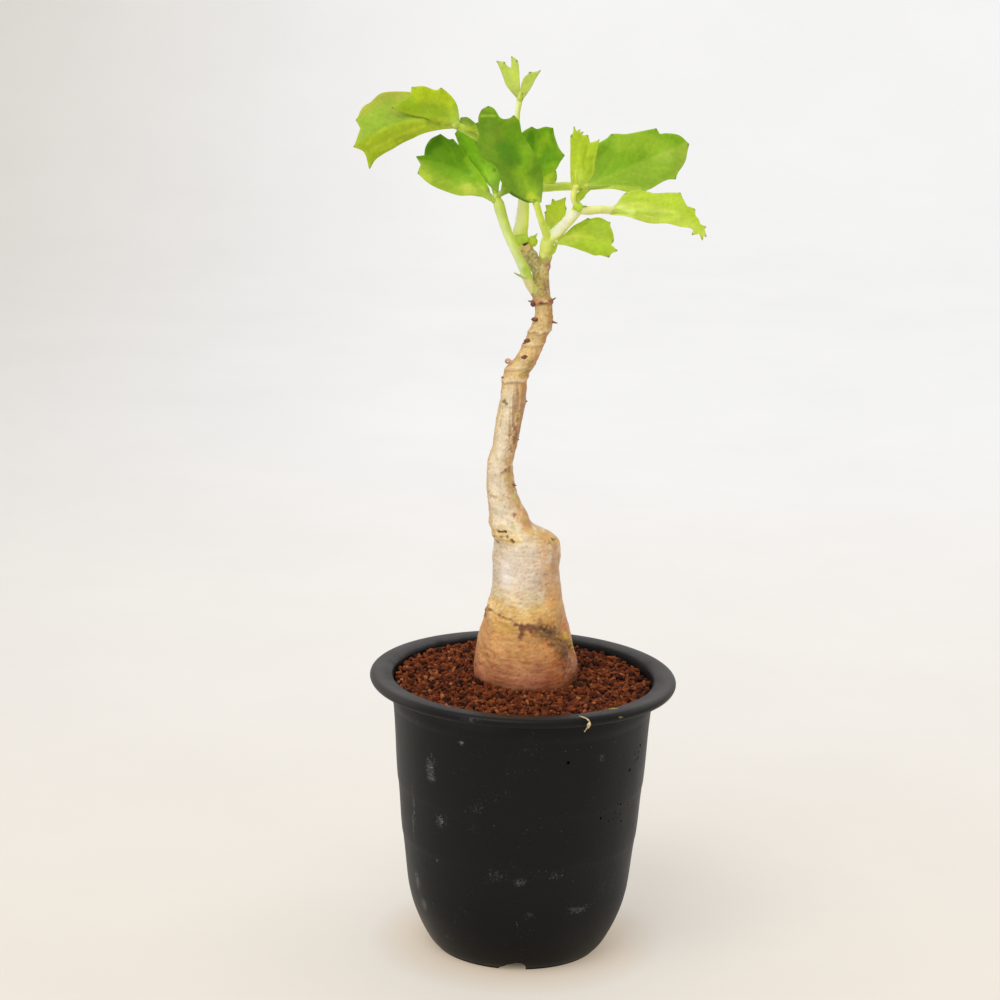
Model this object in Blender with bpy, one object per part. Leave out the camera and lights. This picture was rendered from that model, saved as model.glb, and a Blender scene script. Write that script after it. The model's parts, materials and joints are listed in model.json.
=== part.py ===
"""A potted Cyphostemma cirrhosum: a swollen caudex with a bare crooked stem and a crown of toothed, fleshy
leaves, in a round plastic nursery pot filled with baked-clay grains.

Lengths below are in millimetres and become metres in mesh(). The origin is on the ground, on the pot's
axis. +X is the plant's right as seen from the front, +Y points to the back and +Z up.
"""

import math
import random

import bpy
from mathutils import Vector
from mathutils.geometry import delaunay_2d_cdt

# Driving dimensions
MM = 0.001
GAP = 0.3
POT_RADIUS = 52.5
POT_HEIGHT = 97.0
WALL = 1.2
PLATE_Z = 3.0
FOOT_RADIUS = 28.3
FOOT_WIDTH = 2.9
DRAIN_RADIUS = 5.0
DRAIN_RING = (6, 16.0, 3.5)
NOTCH_WIDTH = 9.0
NOTCH_TOP_WIDTH = 6.0
NOTCH_HEIGHT = 2.6
NOTCHES = 4
NOTCH_SHIFT = -1.5
SOIL_Z = 94.3
SOIL_MOUND = 1.0
SOIL_MOUND_REACH = 26.0
SOIL_TILT = (-0.02, 0.018)
CAUDEX_AXIS = (1.0, 6.0)
GRAIN_SPACING = 3.0
GRAIN_JITTER = 0.5
GRAIN_RELIEF = 0.7
SOIL_RIM = 4.0
BLADE = 0.7
BLADE_SPACING = 4.0
RIB_SHARES = (-0.04, 0.16, 0.34, 0.5)
RIB_TAPER = (1.0, 0.75, 0.5, 0.38)
RIBBED_LENGTH = 9.0
MIDRIB_LEAST = 0.45
THORN_TIP = 0.25
SEED = 31

# Sides and steps of the round pieces
POT_SIDES = 48
CAUDEX_SIDES = 20
SHOOT_SIDES = 8
PETIOLE_SIDES = 6
THORN_SIDES = 5
DRAIN_SIDES = 12
KNOB_RINGS = 5
SMOOTH_STEPS = 2

# Outer wall of the pot from the foot to just under the lip: height, radius. Small steps are mould lines.
POT_WALL = [
    (0.0, FOOT_RADIUS), (1.6, 29.8), (5.5, 32.3), (11.0, 34.9), (16.0, 36.7), (20.6, 37.8), (21.4, 38.1),
    (40.0, 40.3), (40.8, 40.6), (59.0, 42.1), (59.8, 42.4), (86.5, 44.3), (87.5, 44.9), (93.4, 45.2),
]
# Lip of the pot, from its underside at the wall, round its turned-down edge, to the opening: radius,
# height.
POT_LIP = [
    (46.0, 94.6), (50.3, 94.7), (50.9, 93.0), (51.8, 92.9), (52.4, 94.0), (POT_RADIUS, 95.2), (52.0, 96.4),
    (50.6, POT_HEIGHT), (46.4, 96.6), (45.0, 96.0),
]

# Caudex and woody stem, from the buried root end to the fork: height, left and right edge, middle and half
# of the depth.
CAUDEX_SECTIONS = [
    (74.0, -8.0, 9.5, 5.5, 8.5), (77.0, -12.0, 14.0, 5.8, 12.5), (84.0, -15.4, 17.4, 6.0, 15.8),
    (91.0, -16.8, 18.9, 6.0, 17.2), (97.0, -17.1, 19.1, 6.0, 17.6), (102.0, -16.8, 18.2, 6.0, 17.1),
    (107.0, -16.1, 16.9, 5.9, 16.2), (113.0, -14.4, 15.1, 5.7, 14.7), (119.0, -13.2, 13.7, 5.4, 13.4),
    (129.5, -11.3, 11.9, 4.9, 11.6), (136.5, -11.3, 11.6, 4.6, 11.2), (142.5, -11.1, 11.4, 4.2, 10.8),
    (145.4, -11.7, 9.7, 3.9, 10.0), (148.1, -12.4, 4.5, 3.6, 8.1), (150.1, -13.0, 1.6, 3.5, 7.0),
    (152.5, -12.8, 0.4, 3.5, 6.4), (158.0, -13.6, -2.6, 3.0, 5.5), (164.3, -14.0, -4.5, 2.5, 4.8),
    (170.4, -14.1, -5.3, 2.0, 4.4), (178.6, -12.2, -3.8, 1.5, 4.2), (186.4, -11.5, -2.7, 1.0, 4.3),
    (193.3, -10.2, -1.4, 1.0, 4.3), (200.1, -9.5, -1.7, 1.5, 3.9), (204.2, -8.1, -0.3, 2.0, 3.8),
    (208.2, -5.0, 1.8, 2.5, 3.4), (214.4, -1.6, 4.2, 3.0, 3.0), (219.5, 0.1, 6.5, 3.5, 3.2),
    (223.2, 1.1, 6.5, 3.5, 2.9), (226.6, 0.4, 6.0, 3.5, 3.0), (230.7, -0.7, 4.9, 3.5, 2.9),
    (235.8, 0.3, 5.2, 3.5, 2.5), (240.3, 1.9, 5.5, 3.5, 1.9),
]
HOLE_TOP = 112.0
# Left arm of the fork. Points of every tube are x, y, z, radius.
STUB = [(2.4, 4.0, 232.0, 2.0), (1.2, 4.2, 236.5, 2.1), (-0.6, 4.5, 240.3, 2.2), (-3.4, 5.0, 245.2, 2.15)]
# Dried stipules and scars on the woody stem: where each is rooted, its tip, and its radius.
SCARS = [
    ((1.6, 2.6, 226.6), (-1.5, 1.8, 227.2), 1.0), ((5.0, 2.6, 227.0), (7.6, 2.0, 228.2), 0.9),
    ((1.4, 2.4, 220.6), (-0.6, 1.6, 221.2), 0.9), ((5.4, 3.0, 220.4), (8.4, 2.6, 219.8), 0.8),
    ((0.0, 1.8, 213.4), (-1.9, 1.0, 213.8), 0.9), ((-1.6, 1.4, 208.0), (-2.6, -1.2, 208.4), 1.0),
    ((-5.4, 1.8, 205.6), (-8.9, 1.0, 207.6), 1.0), ((-7.6, 1.2, 200.8), (-10.2, 0.6, 201.6), 0.9),
    ((-8.4, 0.6, 192.2), (-10.8, 0.2, 192.6), 0.8), ((-3.4, 0.6, 192.8), (-0.6, 0.2, 193.2), 0.8),
    ((-11.6, 1.8, 166.4), (-14.6, 1.4, 167.0), 0.7), ((3.4, 2.6, 238.6), (6.4, 1.9, 239.6), 0.8),
]

# Green shoots, with round nodes as x, y, z, radius and small stipules like SCARS.
SHOOT_MIDDLE = [
    (-2.4, 4.85, 243.4, 1.8), (-3.7, 5.1, 246.0, 2.2), (-4.6, 5.5, 249.8, 2.8), (-4.6, 5.5, 252.2, 2.2),
    (-3.7, 6.0, 258.5, 1.7), (-4.3, 6.0, 265.6, 1.5), (-5.9, 6.0, 277.3, 1.2), (-6.8, 5.0, 288.1, 0.9),
    (-6.2, 5.0, 293.6, 1.0),
]
SHOOT_MIDDLE_KNOBS = [(-0.9, 4.6, 247.2, 1.6)]
SHOOT_RIGHT = [
    (3.6, 3.5, 239.2, 1.5), (3.8, 3.4, 241.4, 1.8), (4.0, 2.8, 244.4, 1.9), (4.5, 1.8, 247.8, 2.1),
    (6.4, 0.9, 250.2, 1.8), (9.3, 0.0, 253.6, 1.6), (13.4, -2.2, 258.8, 1.7),
]
SHOOT_RIGHT_KNOBS = [(13.7, -2.5, 260.4, 2.0)]
SHOOT_RIGHT_SCARS = [
    ((5.0, 2.2, 244.4), (7.6, 1.4, 246.0), 0.8), ((14.6, -2.6, 260.6), (17.0, -3.2, 260.2), 0.7),
]

# Petioles, each from inside the stem that bears it. The seat on that stem is cut afterwards.
PETIOLE_LOW_LEFT = [
    (1.8, 2.9, 230.6, 1.5), (-0.1, 1.0, 233.2, 1.7), (-2.2, -0.4, 236.4, 1.5), (-5.9, -3.0, 244.0, 1.2),
    (-8.6, -5.0, 250.4, 1.25), (-10.8, -6.0, 256.5, 1.4), (-12.2, -6.8, 261.0, 1.5),
    (-13.2, -7.2, 264.0, 1.1),
]
LOW_LEFT_STIPULES = [((-2.0, 0.2, 235.4), (-6.3, 0.4, 236.8), 0.9)]
PETIOLE_UPPER_LEFT = [
    (-5.5, 6.2, 276.0, 1.0), (-8.7, 4.0, 277.9, 1.2), (-13.9, 0.0, 280.4, 1.3), (-19.5, -6.0, 283.2, 1.3),
    (-23.4, -9.0, 285.9, 1.3), (-27.2, -11.1, 287.8, 1.0),
]
PETIOLE_FAR_RIGHT = [
    (-4.2, 6.0, 264.6, 1.2), (1.7, 9.0, 264.2, 1.4), (10.1, 12.0, 264.5, 1.45), (16.8, 14.1, 264.0, 1.2),
]
PETIOLE_FRONT = [
    (4.4, 2.0, 247.4, 1.2), (3.5, -1.8, 250.8, 1.2), (1.9, -6.0, 256.2, 1.15), (0.1, -11.1, 262.6, 1.1),
]
PETIOLE_UPRIGHT = [(13.7, -2.5, 260.2, 1.1), (12.4, -4.0, 263.7, 1.0), (13.1, -5.1, 267.6, 1.1)]
UPRIGHT_STIPULES = [((12.6, -4.0, 264.0), (16.9, -3.2, 265.4), 0.9)]
PETIOLE_RIGHT = [
    (13.8, -2.4, 260.0, 1.2), (17.4, -1.4, 258.9, 1.1), (21.5, 0.8, 259.0, 1.1), (25.8, 3.1, 258.6, 1.0),
]
PETIOLE_LOW_RIGHT = [(4.8, 1.6, 247.6, 1.0), (7.4, -1.1, 248.1, 0.8)]
PETIOLE_SMALL = [(5.0, 1.6, 248.6, 1.0), (4.7, 4.3, 251.8, 0.8)]
PETIOLE_TIP = [(-6.2, 5.0, 293.2, 0.8), (-6.1, 5.0, 294.8, 1.1), (-5.9, 4.9, 296.4, 0.7)]


class Leaflet:
    """A toothed blade, drawn in front view and laid on a gently curved sheet.

    base is where it joins its petiole. tip and the points of edge are (across, up) from the base; edge runs
    from one side of the base round to the other, with a point at each tooth, notch and bend. slope is how far
    the sheet goes back for each mm across and up. cup and droop bend it back across and along the midrib,
    each by the square of the distance. sway is how far the midrib's middle lies to one side of the line to
    the tip.
    """

    def __init__(self, base, tip, slope, edge, cup=0.0, droop=0.0, sway=0.0):
        self.base = base
        self.tip = tip
        self.slope = slope
        self.edge = edge
        self.cup = cup
        self.droop = droop
        self.sway = sway
        self.length = math.hypot(*tip)

    def rib_aside(self, share):
        share = max(0.0, min(1.0, share))
        return self.sway * 4 * share * (1 - share)

    def rib_point(self, share):
        aside = self.rib_aside(share) / self.length
        across = self.tip[0] * share + self.tip[1] * aside
        return self.point(across, self.tip[1] * share - self.tip[0] * aside)

    def point(self, across, up):
        along = (across * self.tip[0] + up * self.tip[1]) / self.length
        aside = (across * self.tip[1] - up * self.tip[0]) / self.length
        aside -= self.rib_aside(along / self.length)
        back = self.slope[0] * across + self.slope[1] * up + self.cup * aside**2 + self.droop * along**2
        return Vector((self.base[0] + across, self.base[1] + back, self.base[2] + up))

    def normal(self, across, up):
        """The sheet's normal on its front side."""
        here = self.point(across, up)
        step = 0.05
        right = self.point(across + step, up) - here
        above = self.point(across, up + step) - here
        return right.cross(above).normalized()


LOW_LEFT_BLADES = [
    Leaflet(
        base=(-14.1, -7.5, 263.0), tip=(-24.4, 12.4), slope=(0.25, 0.5), cup=0.03, sway=2.8,
        edge=[
            (-1.4, 3.0), (-3.4, 6.4), (-7.8, 12.0), (-11.2, 16.2), (-13.6, 18.6), (-15.2, 18.6), (-17.8, 20.2),
            (-20.6, 19.0), (-22.0, 17.0), (-22.6, 13.8), (-25.4, 13.4), (-23.8, 11.0), (-24.8, 8.4),
            (-21.8, 5.8), (-18.4, 4.2), (-11.4, 1.6), (-3.8, 0.8), (-0.6, -0.6),
        ],
    ),
    Leaflet(
        base=(-13.0, -7.0, 264.0), tip=(-13.6, 19.6), slope=(-0.2, 0.5), cup=0.02, sway=1.2,
        edge=[
            (-0.8, 1.8), (-4.6, 5.2), (-9.8, 11.0), (-12.4, 14.6), (-14.2, 18.4), (-13.2, 19.8), (-10.6, 20.4),
            (-7.2, 18.8), (-5.6, 15.4), (-3.2, 10.8), (-1.2, 7.4), (-2.4, 6.0), (-0.2, 3.0), (0.6, 1.0),
        ],
    ),
    Leaflet(
        base=(-12.2, -7.0, 264.3), tip=(19.4, 18.0), slope=(0.12, 0.2), cup=-0.02,
        edge=[
            (1.0, 3.8), (2.8, 9.4), (4.8, 16.4), (7.2, 20.4), (10.2, 22.2), (12.0, 21.4), (14.6, 22.0),
            (17.2, 21.6), (17.8, 19.2), (19.4, 15.2), (21.2, 13.0), (19.6, 10.6), (18.4, 8.4), (14.6, 6.4),
            (9.2, 2.6), (2.8, 0.6), (0.6, -0.4),
        ],
    ),
]
UPPER_LEFT_BLADES = [
    Leaflet(
        base=(-27.0, -11.0, 287.6), tip=(-32.6, -6.0), slope=(0.2, 0.7), cup=0.02, sway=3.8,
        edge=[
            (-1.0, 1.0), (-5.0, 2.6), (-8.4, 6.6), (-15.0, 9.2), (-19.6, 9.6), (-24.4, 8.4), (-28.6, 6.0),
            (-31.0, 3.8), (-32.0, 0.8), (-30.4, -1.2), (-32.6, -5.8), (-29.0, -7.8), (-27.2, -13.2),
            (-25.2, -10.0), (-19.8, -7.0), (-14.0, -4.2), (-10.2, -2.4), (-4.8, -1.2), (-0.6, -0.8),
        ],
    ),
    Leaflet(
        base=(-26.7, -11.0, 288.1), tip=(-20.8, 5.4), slope=(0.25, 0.3), cup=0.02,
        edge=[
            (0.4, 1.8), (-0.6, 5.8), (-2.4, 8.6), (-5.4, 10.6), (-6.8, 10.0), (-10.8, 11.2), (-14.6, 11.4),
            (-14.8, 9.0), (-20.8, 5.4), (-14.6, 3.2), (-9.6, 2.0), (-7.6, 1.0), (-3.2, -0.2),
        ],
    ),
    Leaflet(
        base=(-24.4, -9.5, 286.9), tip=(5.4, -0.6), slope=(-0.3, 0.9),
        edge=[
            (-1.0, 1.4), (-0.8, 2.6), (1.2, 2.8), (2.8, 2.0), (5.0, 0.4), (5.4, -0.6), (4.4, -1.0),
            (-1.0, -0.6),
        ],
    ),
]
FAR_RIGHT_BLADES = [
    Leaflet(
        base=(16.5, 14.0, 263.9), tip=(34.6, 13.8), slope=(0.12, 0.6), cup=-0.015, droop=0.003,
        edge=[
            (0.2, 3.0), (3.2, 12.2), (7.4, 15.0), (8.8, 16.6), (13.8, 16.4), (23.8, 18.0), (25.0, 16.2),
            (27.4, 16.2), (31.6, 15.2), (35.0, 12.8), (33.8, 8.0), (31.0, 4.0), (30.4, 2.4), (27.6, 2.2),
            (21.6, -0.4), (17.8, -1.2), (13.2, -1.0), (8.4, -0.4), (0.4, -0.6),
        ],
    ),
    Leaflet(
        base=(3.7, 9.6, 264.4), tip=(0.4, 6.8), slope=(0.0, 0.3),
        edge=[
            (-1.0, 1.2), (-2.0, 3.8), (-0.8, 6.4), (1.2, 7.0), (2.8, 5.2), (3.0, 2.4), (0.9, -0.3),
            (-0.7, -0.3),
        ],
    ),
]
FRONT_BLADES = [
    Leaflet(
        base=(0.1, -11.0, 262.4), tip=(-16.2, 34.4), slope=(0.15, -0.45), cup=0.03, droop=0.006,
        edge=[
            (-2.6, 0.4), (-5.0, 1.4), (-8.6, 3.8), (-11.4, 7.6), (-13.6, 13.0), (-16.6, 15.2), (-18.4, 17.4),
            (-20.2, 20.8), (-19.0, 23.2), (-20.0, 27.6), (-19.0, 28.2), (-18.6, 31.0), (-16.2, 33.2),
            (-13.8, 31.8), (-12.6, 30.0), (-9.8, 29.2), (-8.2, 30.4), (-6.6, 28.6), (-5.6, 24.8), (-3.2, 20.8),
            (-0.4, 16.2), (1.6, 11.8), (2.0, 7.4), (1.6, 0.6),
        ],
    ),
]
UPRIGHT_BLADES = [
    Leaflet(
        base=(13.1, -5.0, 267.3), tip=(-1.2, 20.0), slope=(0.3, -0.15), cup=0.06,
        edge=[
            (-0.8, -1.0), (-1.6, 2.8), (-1.8, 8.6), (-2.0, 13.8), (-2.2, 17.4), (-1.2, 20.0), (0.0, 19.2),
            (0.4, 17.6), (3.0, 17.4), (3.8, 14.6), (7.0, 14.6), (5.2, 11.6), (5.0, 8.8), (4.6, 5.8),
            (2.6, 2.4), (1.0, -1.0),
        ],
    ),
]
RIGHT_BLADES = [
    Leaflet(
        base=(25.4, 3.0, 258.6), tip=(31.6, -7.0), slope=(0.15, 0.9), cup=0.04, droop=-0.004, sway=-4.0,
        edge=[
            (-0.6, 0.6), (1.4, 1.4), (4.6, 4.6), (10.0, 5.6), (14.8, 4.8), (22.8, 5.0), (23.8, 2.8),
            (25.0, 0.8), (27.6, 0.4), (28.4, -2.2), (31.4, -4.6), (31.4, -6.8), (29.8, -7.6), (26.6, -6.6),
            (25.4, -4.8), (18.4, -4.0), (11.0, -3.6), (5.0, -2.0), (-0.6, -0.8),
        ],
    ),
]
LOW_RIGHT_BLADES = [
    Leaflet(
        base=(7.1, -1.0, 248.0), tip=(20.2, -1.0), slope=(-0.35, 0.6), cup=0.03, sway=-2.8,
        edge=[
            (-0.4, 0.6), (2.6, 2.4), (6.4, 5.4), (10.6, 7.4), (11.4, 7.2), (14.6, 8.2), (17.6, 7.6),
            (17.6, 6.4), (18.6, 4.0), (18.8, 1.8), (18.0, 0.6), (20.2, -1.0), (18.4, -1.8), (17.4, -3.2),
            (14.8, -2.8), (12.8, -3.0), (9.2, -2.0), (3.6, -0.8), (-0.4, -0.6),
        ],
    ),
]
SMALL_BLADES = [
    Leaflet(
        base=(4.7, 4.5, 251.6), tip=(3.4, 9.0), slope=(0.0, 0.6), cup=0.04,
        edge=[
            (-0.7, 0.0), (-1.2, 2.6), (-1.0, 6.0), (1.0, 7.0), (1.8, 9.0), (3.2, 8.4), (5.4, 9.4), (5.6, 6.2),
            (5.0, 3.6), (3.0, 1.8), (0.8, -0.2),
        ],
    ),
]
TIP_BLADES = [
    Leaflet(
        base=(-6.3, 5.0, 294.7), tip=(-6.2, 12.4), slope=(0.3, -0.1), cup=-0.05,
        edge=[
            (-0.8, 0.2), (-4.2, 4.4), (-5.4, 7.2), (-7.8, 12.6), (-5.2, 12.2), (-4.6, 11.2), (-3.2, 10.2),
            (-2.8, 10.8), (-2.8, 14.2), (-1.0, 12.6), (-0.4, 9.8), (-0.1, 6.0), (0.3, 0.4),
        ],
    ),
    Leaflet(
        base=(-5.5, 5.0, 294.4), tip=(6.0, 9.4), slope=(0.3, 0.0), cup=-0.05,
        edge=[
            (-0.7, 1.0), (-0.1, 5.2), (0.8, 7.4), (1.6, 8.0), (2.4, 9.0), (3.8, 8.8), (6.0, 9.4), (4.2, 6.2),
            (3.0, 3.8), (0.9, 0.6),
        ],
    ),
]


# Meshes and solids


def mesh(name, points, faces):
    """A mesh from points in millimetres."""
    data = bpy.data.meshes.new(name)
    data.from_pydata([Vector(point) * MM for point in points], [], faces)
    data.update()
    return data


def add_object(name, data):
    piece = bpy.data.objects.new(name, data)
    bpy.context.scene.collection.objects.link(piece)
    return piece


def skin(rings, closed=False):
    """Rings joined one to the next, capped at both ends or closed round to the first: points and faces."""
    count = len(rings[0])
    points = [point for ring in rings for point in ring]
    faces = []
    for i in range(len(rings) - (not closed)):
        low, high = i * count, (i + 1) % len(rings) * count
        for k in range(count):
            n = (k + 1) % count
            faces.append((low + k, low + n, high + n, high + k))
    if not closed:
        faces.append(tuple(reversed(range(count))))
        faces.append(tuple(range(len(points) - count, len(points))))
    return points, faces


def level_ring(x, y, z, across, deep, sides):
    """A level ellipse about a centre, with its half widths along X and Y."""
    angles = [2 * math.pi * k / sides for k in range(sides)]
    return [Vector((x + across * math.cos(a), y + deep * math.sin(a), z)) for a in angles]


def turned(profile, sides):
    """A closed profile of (radius, height), turned about the pot's axis."""
    rings = [level_ring(0, 0, height, radius, radius, sides) for radius, height in profile]
    return skin(rings, closed=True)


def smooth_path(points, steps):
    """Points with a few more between each two, on a Catmull-Rom curve."""
    knots = [Vector(point) for point in points]
    knots = [2 * knots[0] - knots[1]] + knots + [2 * knots[-1] - knots[-2]]
    path = []
    for before, start, end, after in zip(knots, knots[1:], knots[2:], knots[3:]):
        for k in range(steps):
            t = k / steps
            bend = (end - before) * t + (2 * before - 5 * start + 4 * end - after) * t**2
            path.append(start + 0.5 * (bend + (3 * start - before - 3 * end + after) * t**3))
    return path + [knots[-2]]


def tube(points, sides, steps=SMOOTH_STEPS, more=0.0):
    """A round tube along points of x, y, z, radius. more widens it and lengthens its far end."""
    path = smooth_path(points, steps)
    centres = [point.xyz for point in path]
    radii = [point.w + more for point in path]
    side = Vector((1.0, 0.2, 0.1))
    rings = []
    for i, centre in enumerate(centres):
        forward = (centres[min(i + 1, len(path) - 1)] - centres[max(i - 1, 0)]).normalized()
        side = (side - forward * side.dot(forward)).normalized()
        over = forward.cross(side)
        if i == len(path) - 1:
            centre = centre + forward * more
        angles = [2 * math.pi * k / sides for k in range(sides)]
        rings.append([centre + (side * math.cos(a) + over * math.sin(a)) * radii[i] for a in angles])
    return skin(rings)


def knob(x, y, z, radius, more=0.0):
    """A small round swelling."""
    rings = []
    for i in range(KNOB_RINGS):
        tilt = math.pi * (i + 0.5) / KNOB_RINGS
        reach = (radius + more) * math.sin(tilt)
        height = z - (radius + more) * math.cos(tilt)
        rings.append(level_ring(x, y, height, reach, reach, SHOOT_SIDES))
    return skin(rings)


def thorn(root, tip, radius):
    """A stipule or a raised scar: a short cone with a blunt tip."""
    return tube([(*root, radius), (*tip, THORN_TIP)], THORN_SIDES, steps=1)


def sections(rows, more=0.0):
    """The caudex's level sections as one solid. more widens it and lengthens its ends."""
    rings = []
    for i, (height, left, right, middle, depth) in enumerate(rows):
        height += more * (i == len(rows) - 1) - more * (i == 0)
        half = (right - left) / 2 + more
        rings.append(level_ring((left + right) / 2, middle, height, half, depth + more, CAUDEX_SIDES))
    return skin(rings)


def combine(target, shapes, operation):
    """Joins shapes to the target, or cuts them from it, by one Boolean that is applied."""
    tools = bpy.data.collections.new("tools")
    bpy.context.scene.collection.children.link(tools)
    for points, faces in shapes:
        tools.objects.link(bpy.data.objects.new("tool", mesh("tool", points, faces)))
    change = target.modifiers.new("combine", "BOOLEAN")
    change.operation = operation
    change.operand_type = "COLLECTION"
    change.collection = tools
    change.solver = "EXACT"
    graph = bpy.context.evaluated_depsgraph_get()
    target.data = bpy.data.meshes.new_from_object(target.evaluated_get(graph))
    target.modifiers.remove(change)
    for piece in list(tools.objects):
        bpy.data.objects.remove(piece)
    bpy.data.collections.remove(tools)


def fused(name, shapes):
    """One object from overlapping shapes."""
    piece = add_object(name, mesh(name, *shapes[0]))
    if len(shapes) > 1:
        combine(piece, shapes[1:], "UNION")
    return piece


def material(name, colour, roughness):
    made = bpy.data.materials.new(name)
    made.use_nodes = True
    shader = made.node_tree.nodes["Principled BSDF"]
    shader.inputs["Base Color"].default_value = (*colour, 1.0)
    shader.inputs["Roughness"].default_value = roughness
    shader.inputs["Metallic"].default_value = 0.0
    return made


def finish(piece, surface, sharp=math.radians(40)):
    piece.data.materials.clear()
    piece.data.materials.append(surface)
    piece.data.shade_smooth()
    piece.data.set_sharp_from_angle(angle=sharp)


# Pot


def inner_wall():
    """The pot's inside: height, radius, from the plate up to the opening."""
    rows = [(height, radius - WALL) for height, radius in POT_WALL if height > PLATE_Z + 2 * WALL]
    return [(PLATE_Z + WALL, rows[0][1] - WALL)] + rows


def pot():
    """The pot as one turned wall, with its drain holes and notches cut."""
    foot_inner = FOOT_RADIUS - FOOT_WIDTH
    outer = [(radius, height) for height, radius in POT_WALL]
    inner = [(radius, height) for height, radius in reversed(inner_wall())]
    plate = [(DRAIN_RADIUS, PLATE_Z + WALL), (DRAIN_RADIUS, PLATE_Z)]
    under = plate + [(foot_inner, PLATE_Z), (foot_inner, 0.0)]
    piece = add_object("pot", mesh("pot", *turned(outer + POT_LIP + inner + under, POT_SIDES)))
    holes, ring_radius, hole_radius = DRAIN_RING
    cuts = []
    for k in range(holes):
        angle = 2 * math.pi * (k + 0.5) / holes
        x, y = ring_radius * math.cos(angle), ring_radius * math.sin(angle)
        ends = [(x, y, PLATE_Z - WALL, hole_radius), (x, y, PLATE_Z + 2 * WALL, hole_radius)]
        cuts.append(tube(ends, DRAIN_SIDES, steps=1))
    combine(piece, cuts + foot_notches(), "DIFFERENCE")
    finish(piece, material("pot_plastic", (0.018, 0.018, 0.019), 0.5))


def foot_notches():
    """The cutters of the notches through the foot ring."""
    half, half_top = NOTCH_WIDTH / 2, NOTCH_TOP_WIDTH / 2
    right_side = [(half, -1.0), (half, 0.4), (half_top, NOTCH_HEIGHT)]
    outline = right_side + [(-x, z) for x, z in reversed(right_side)]
    inner, outer = FOOT_RADIUS - 2 * FOOT_WIDTH, FOOT_RADIUS + 2 * FOOT_WIDTH
    cuts = []
    for k in range(NOTCHES):
        angle = 2 * math.pi * k / NOTCHES - math.pi / 2
        outward = Vector((math.cos(angle), math.sin(angle), 0.0))
        across = Vector((-outward.y, outward.x, 0.0))
        rings = []
        for reach in (inner, outer):
            centre = outward * reach + across * NOTCH_SHIFT
            rings.append([centre + across * x + Vector((0, 0, z)) for x, z in outline])
        cuts.append(skin(rings))
    return cuts


# Soil


def wall_radius(height):
    rows = inner_wall()
    for low, high in zip(rows, rows[1:]):
        if low[0] <= height <= high[0]:
            return low[1] + (high[1] - low[1]) * (height - low[0]) / (high[0] - low[0])
    return rows[-1][1]


def soil_height(x, y):
    """The soil's top: a little higher to the back and round the caudex."""
    away = math.hypot(x - CAUDEX_AXIS[0], y - CAUDEX_AXIS[1])
    mound = SOIL_MOUND * math.exp(-((away / SOIL_MOUND_REACH) ** 2))
    return SOIL_Z + SOIL_TILT[0] * x + SOIL_TILT[1] * y + mound


def soil():
    """The fill, from the pot's plate to a grainy top, with a plain hole where the caudex stands."""
    draw = random.Random(SEED)
    edge_radius = wall_radius(SOIL_Z) - GAP
    rim = level_ring(0, 0, 0, edge_radius, edge_radius, POT_SIDES)
    grains = []
    row_step = GRAIN_SPACING * math.sqrt(3) / 2
    reach = int(edge_radius / row_step) + 1
    for row in range(-reach, reach):
        for column in range(-reach, reach):
            x = (column + 0.5 * (row % 2)) * GRAIN_SPACING + draw.uniform(-GRAIN_JITTER, GRAIN_JITTER)
            y = row * row_step + draw.uniform(-GRAIN_JITTER, GRAIN_JITTER)
            if math.hypot(x, y) < edge_radius - 0.6 * GRAIN_SPACING:
                grains.append(Vector((x, y)))
    flat = [point.xy for point in rim] + grains
    edges = [(k, (k + 1) % POT_SIDES) for k in range(POT_SIDES)]
    flat, _, faces, *_ = delaunay_2d_cdt(flat, edges, [], 1, 1e-5)
    lifts = [0.0] * POT_SIDES + [draw.uniform(-GRAIN_RELIEF, GRAIN_RELIEF) for grain in grains]
    points = [Vector((p.x, p.y, soil_height(p.x, p.y) + lift)) for p, lift in zip(flat, lifts)]
    faces = [tuple(face) for face in faces]
    upper = list(range(POT_SIDES))
    levels = [row for row in reversed(inner_wall()) if row[0] < SOIL_Z - SOIL_RIM]
    for height, radius in levels:
        height += GAP * (height == levels[-1][0])
        lower = list(range(len(points), len(points) + POT_SIDES))
        points += level_ring(0, 0, height, radius - GAP, radius - GAP, POT_SIDES)
        for k in range(POT_SIDES):
            n = (k + 1) % POT_SIDES
            faces.append((lower[k], lower[n], upper[n], upper[k]))
        upper = lower
    faces.append(tuple(reversed(upper)))
    piece = add_object("soil", mesh("soil", points, faces))
    hole = [row for row in CAUDEX_SECTIONS if row[0] < HOLE_TOP]
    combine(piece, [sections(hole, more=GAP)], "DIFFERENCE")
    finish(piece, material("baked_clay", (0.20, 0.06, 0.022), 0.9), sharp=math.radians(15))


# Caudex and shoots


def caudex():
    """The swollen base and the woody stem, with their scars."""
    shapes = [sections(CAUDEX_SECTIONS), tube(STUB, SHOOT_SIDES)] + [thorn(*scar) for scar in SCARS]
    finish(fused("caudex", shapes), material("bark", (0.62, 0.42, 0.24), 0.6))


def caudex_clearance():
    return [sections(CAUDEX_SECTIONS, more=GAP), tube(STUB, SHOOT_SIDES, more=GAP)]


def shoot_clearance(points, knobs):
    return [tube(points, SHOOT_SIDES, more=GAP)] + [knob(*each, more=GAP) for each in knobs]


def shoot(name, points, knobs, scars, surface):
    shapes = [tube(points, SHOOT_SIDES)]
    shapes += [knob(*each) for each in knobs]
    shapes += [thorn(*scar) for scar in scars]
    piece = fused(name, shapes)
    combine(piece, caudex_clearance(), "DIFFERENCE")
    finish(piece, surface)


# Leaves


def inside(polygon, x, y):
    found = False
    for (ax, ay), (bx, by) in zip(polygon, polygon[1:] + polygon[:1]):
        if (ay > y) != (by > y) and x < ax + (bx - ax) * (y - ay) / (by - ay):
            found = not found
    return found


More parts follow.
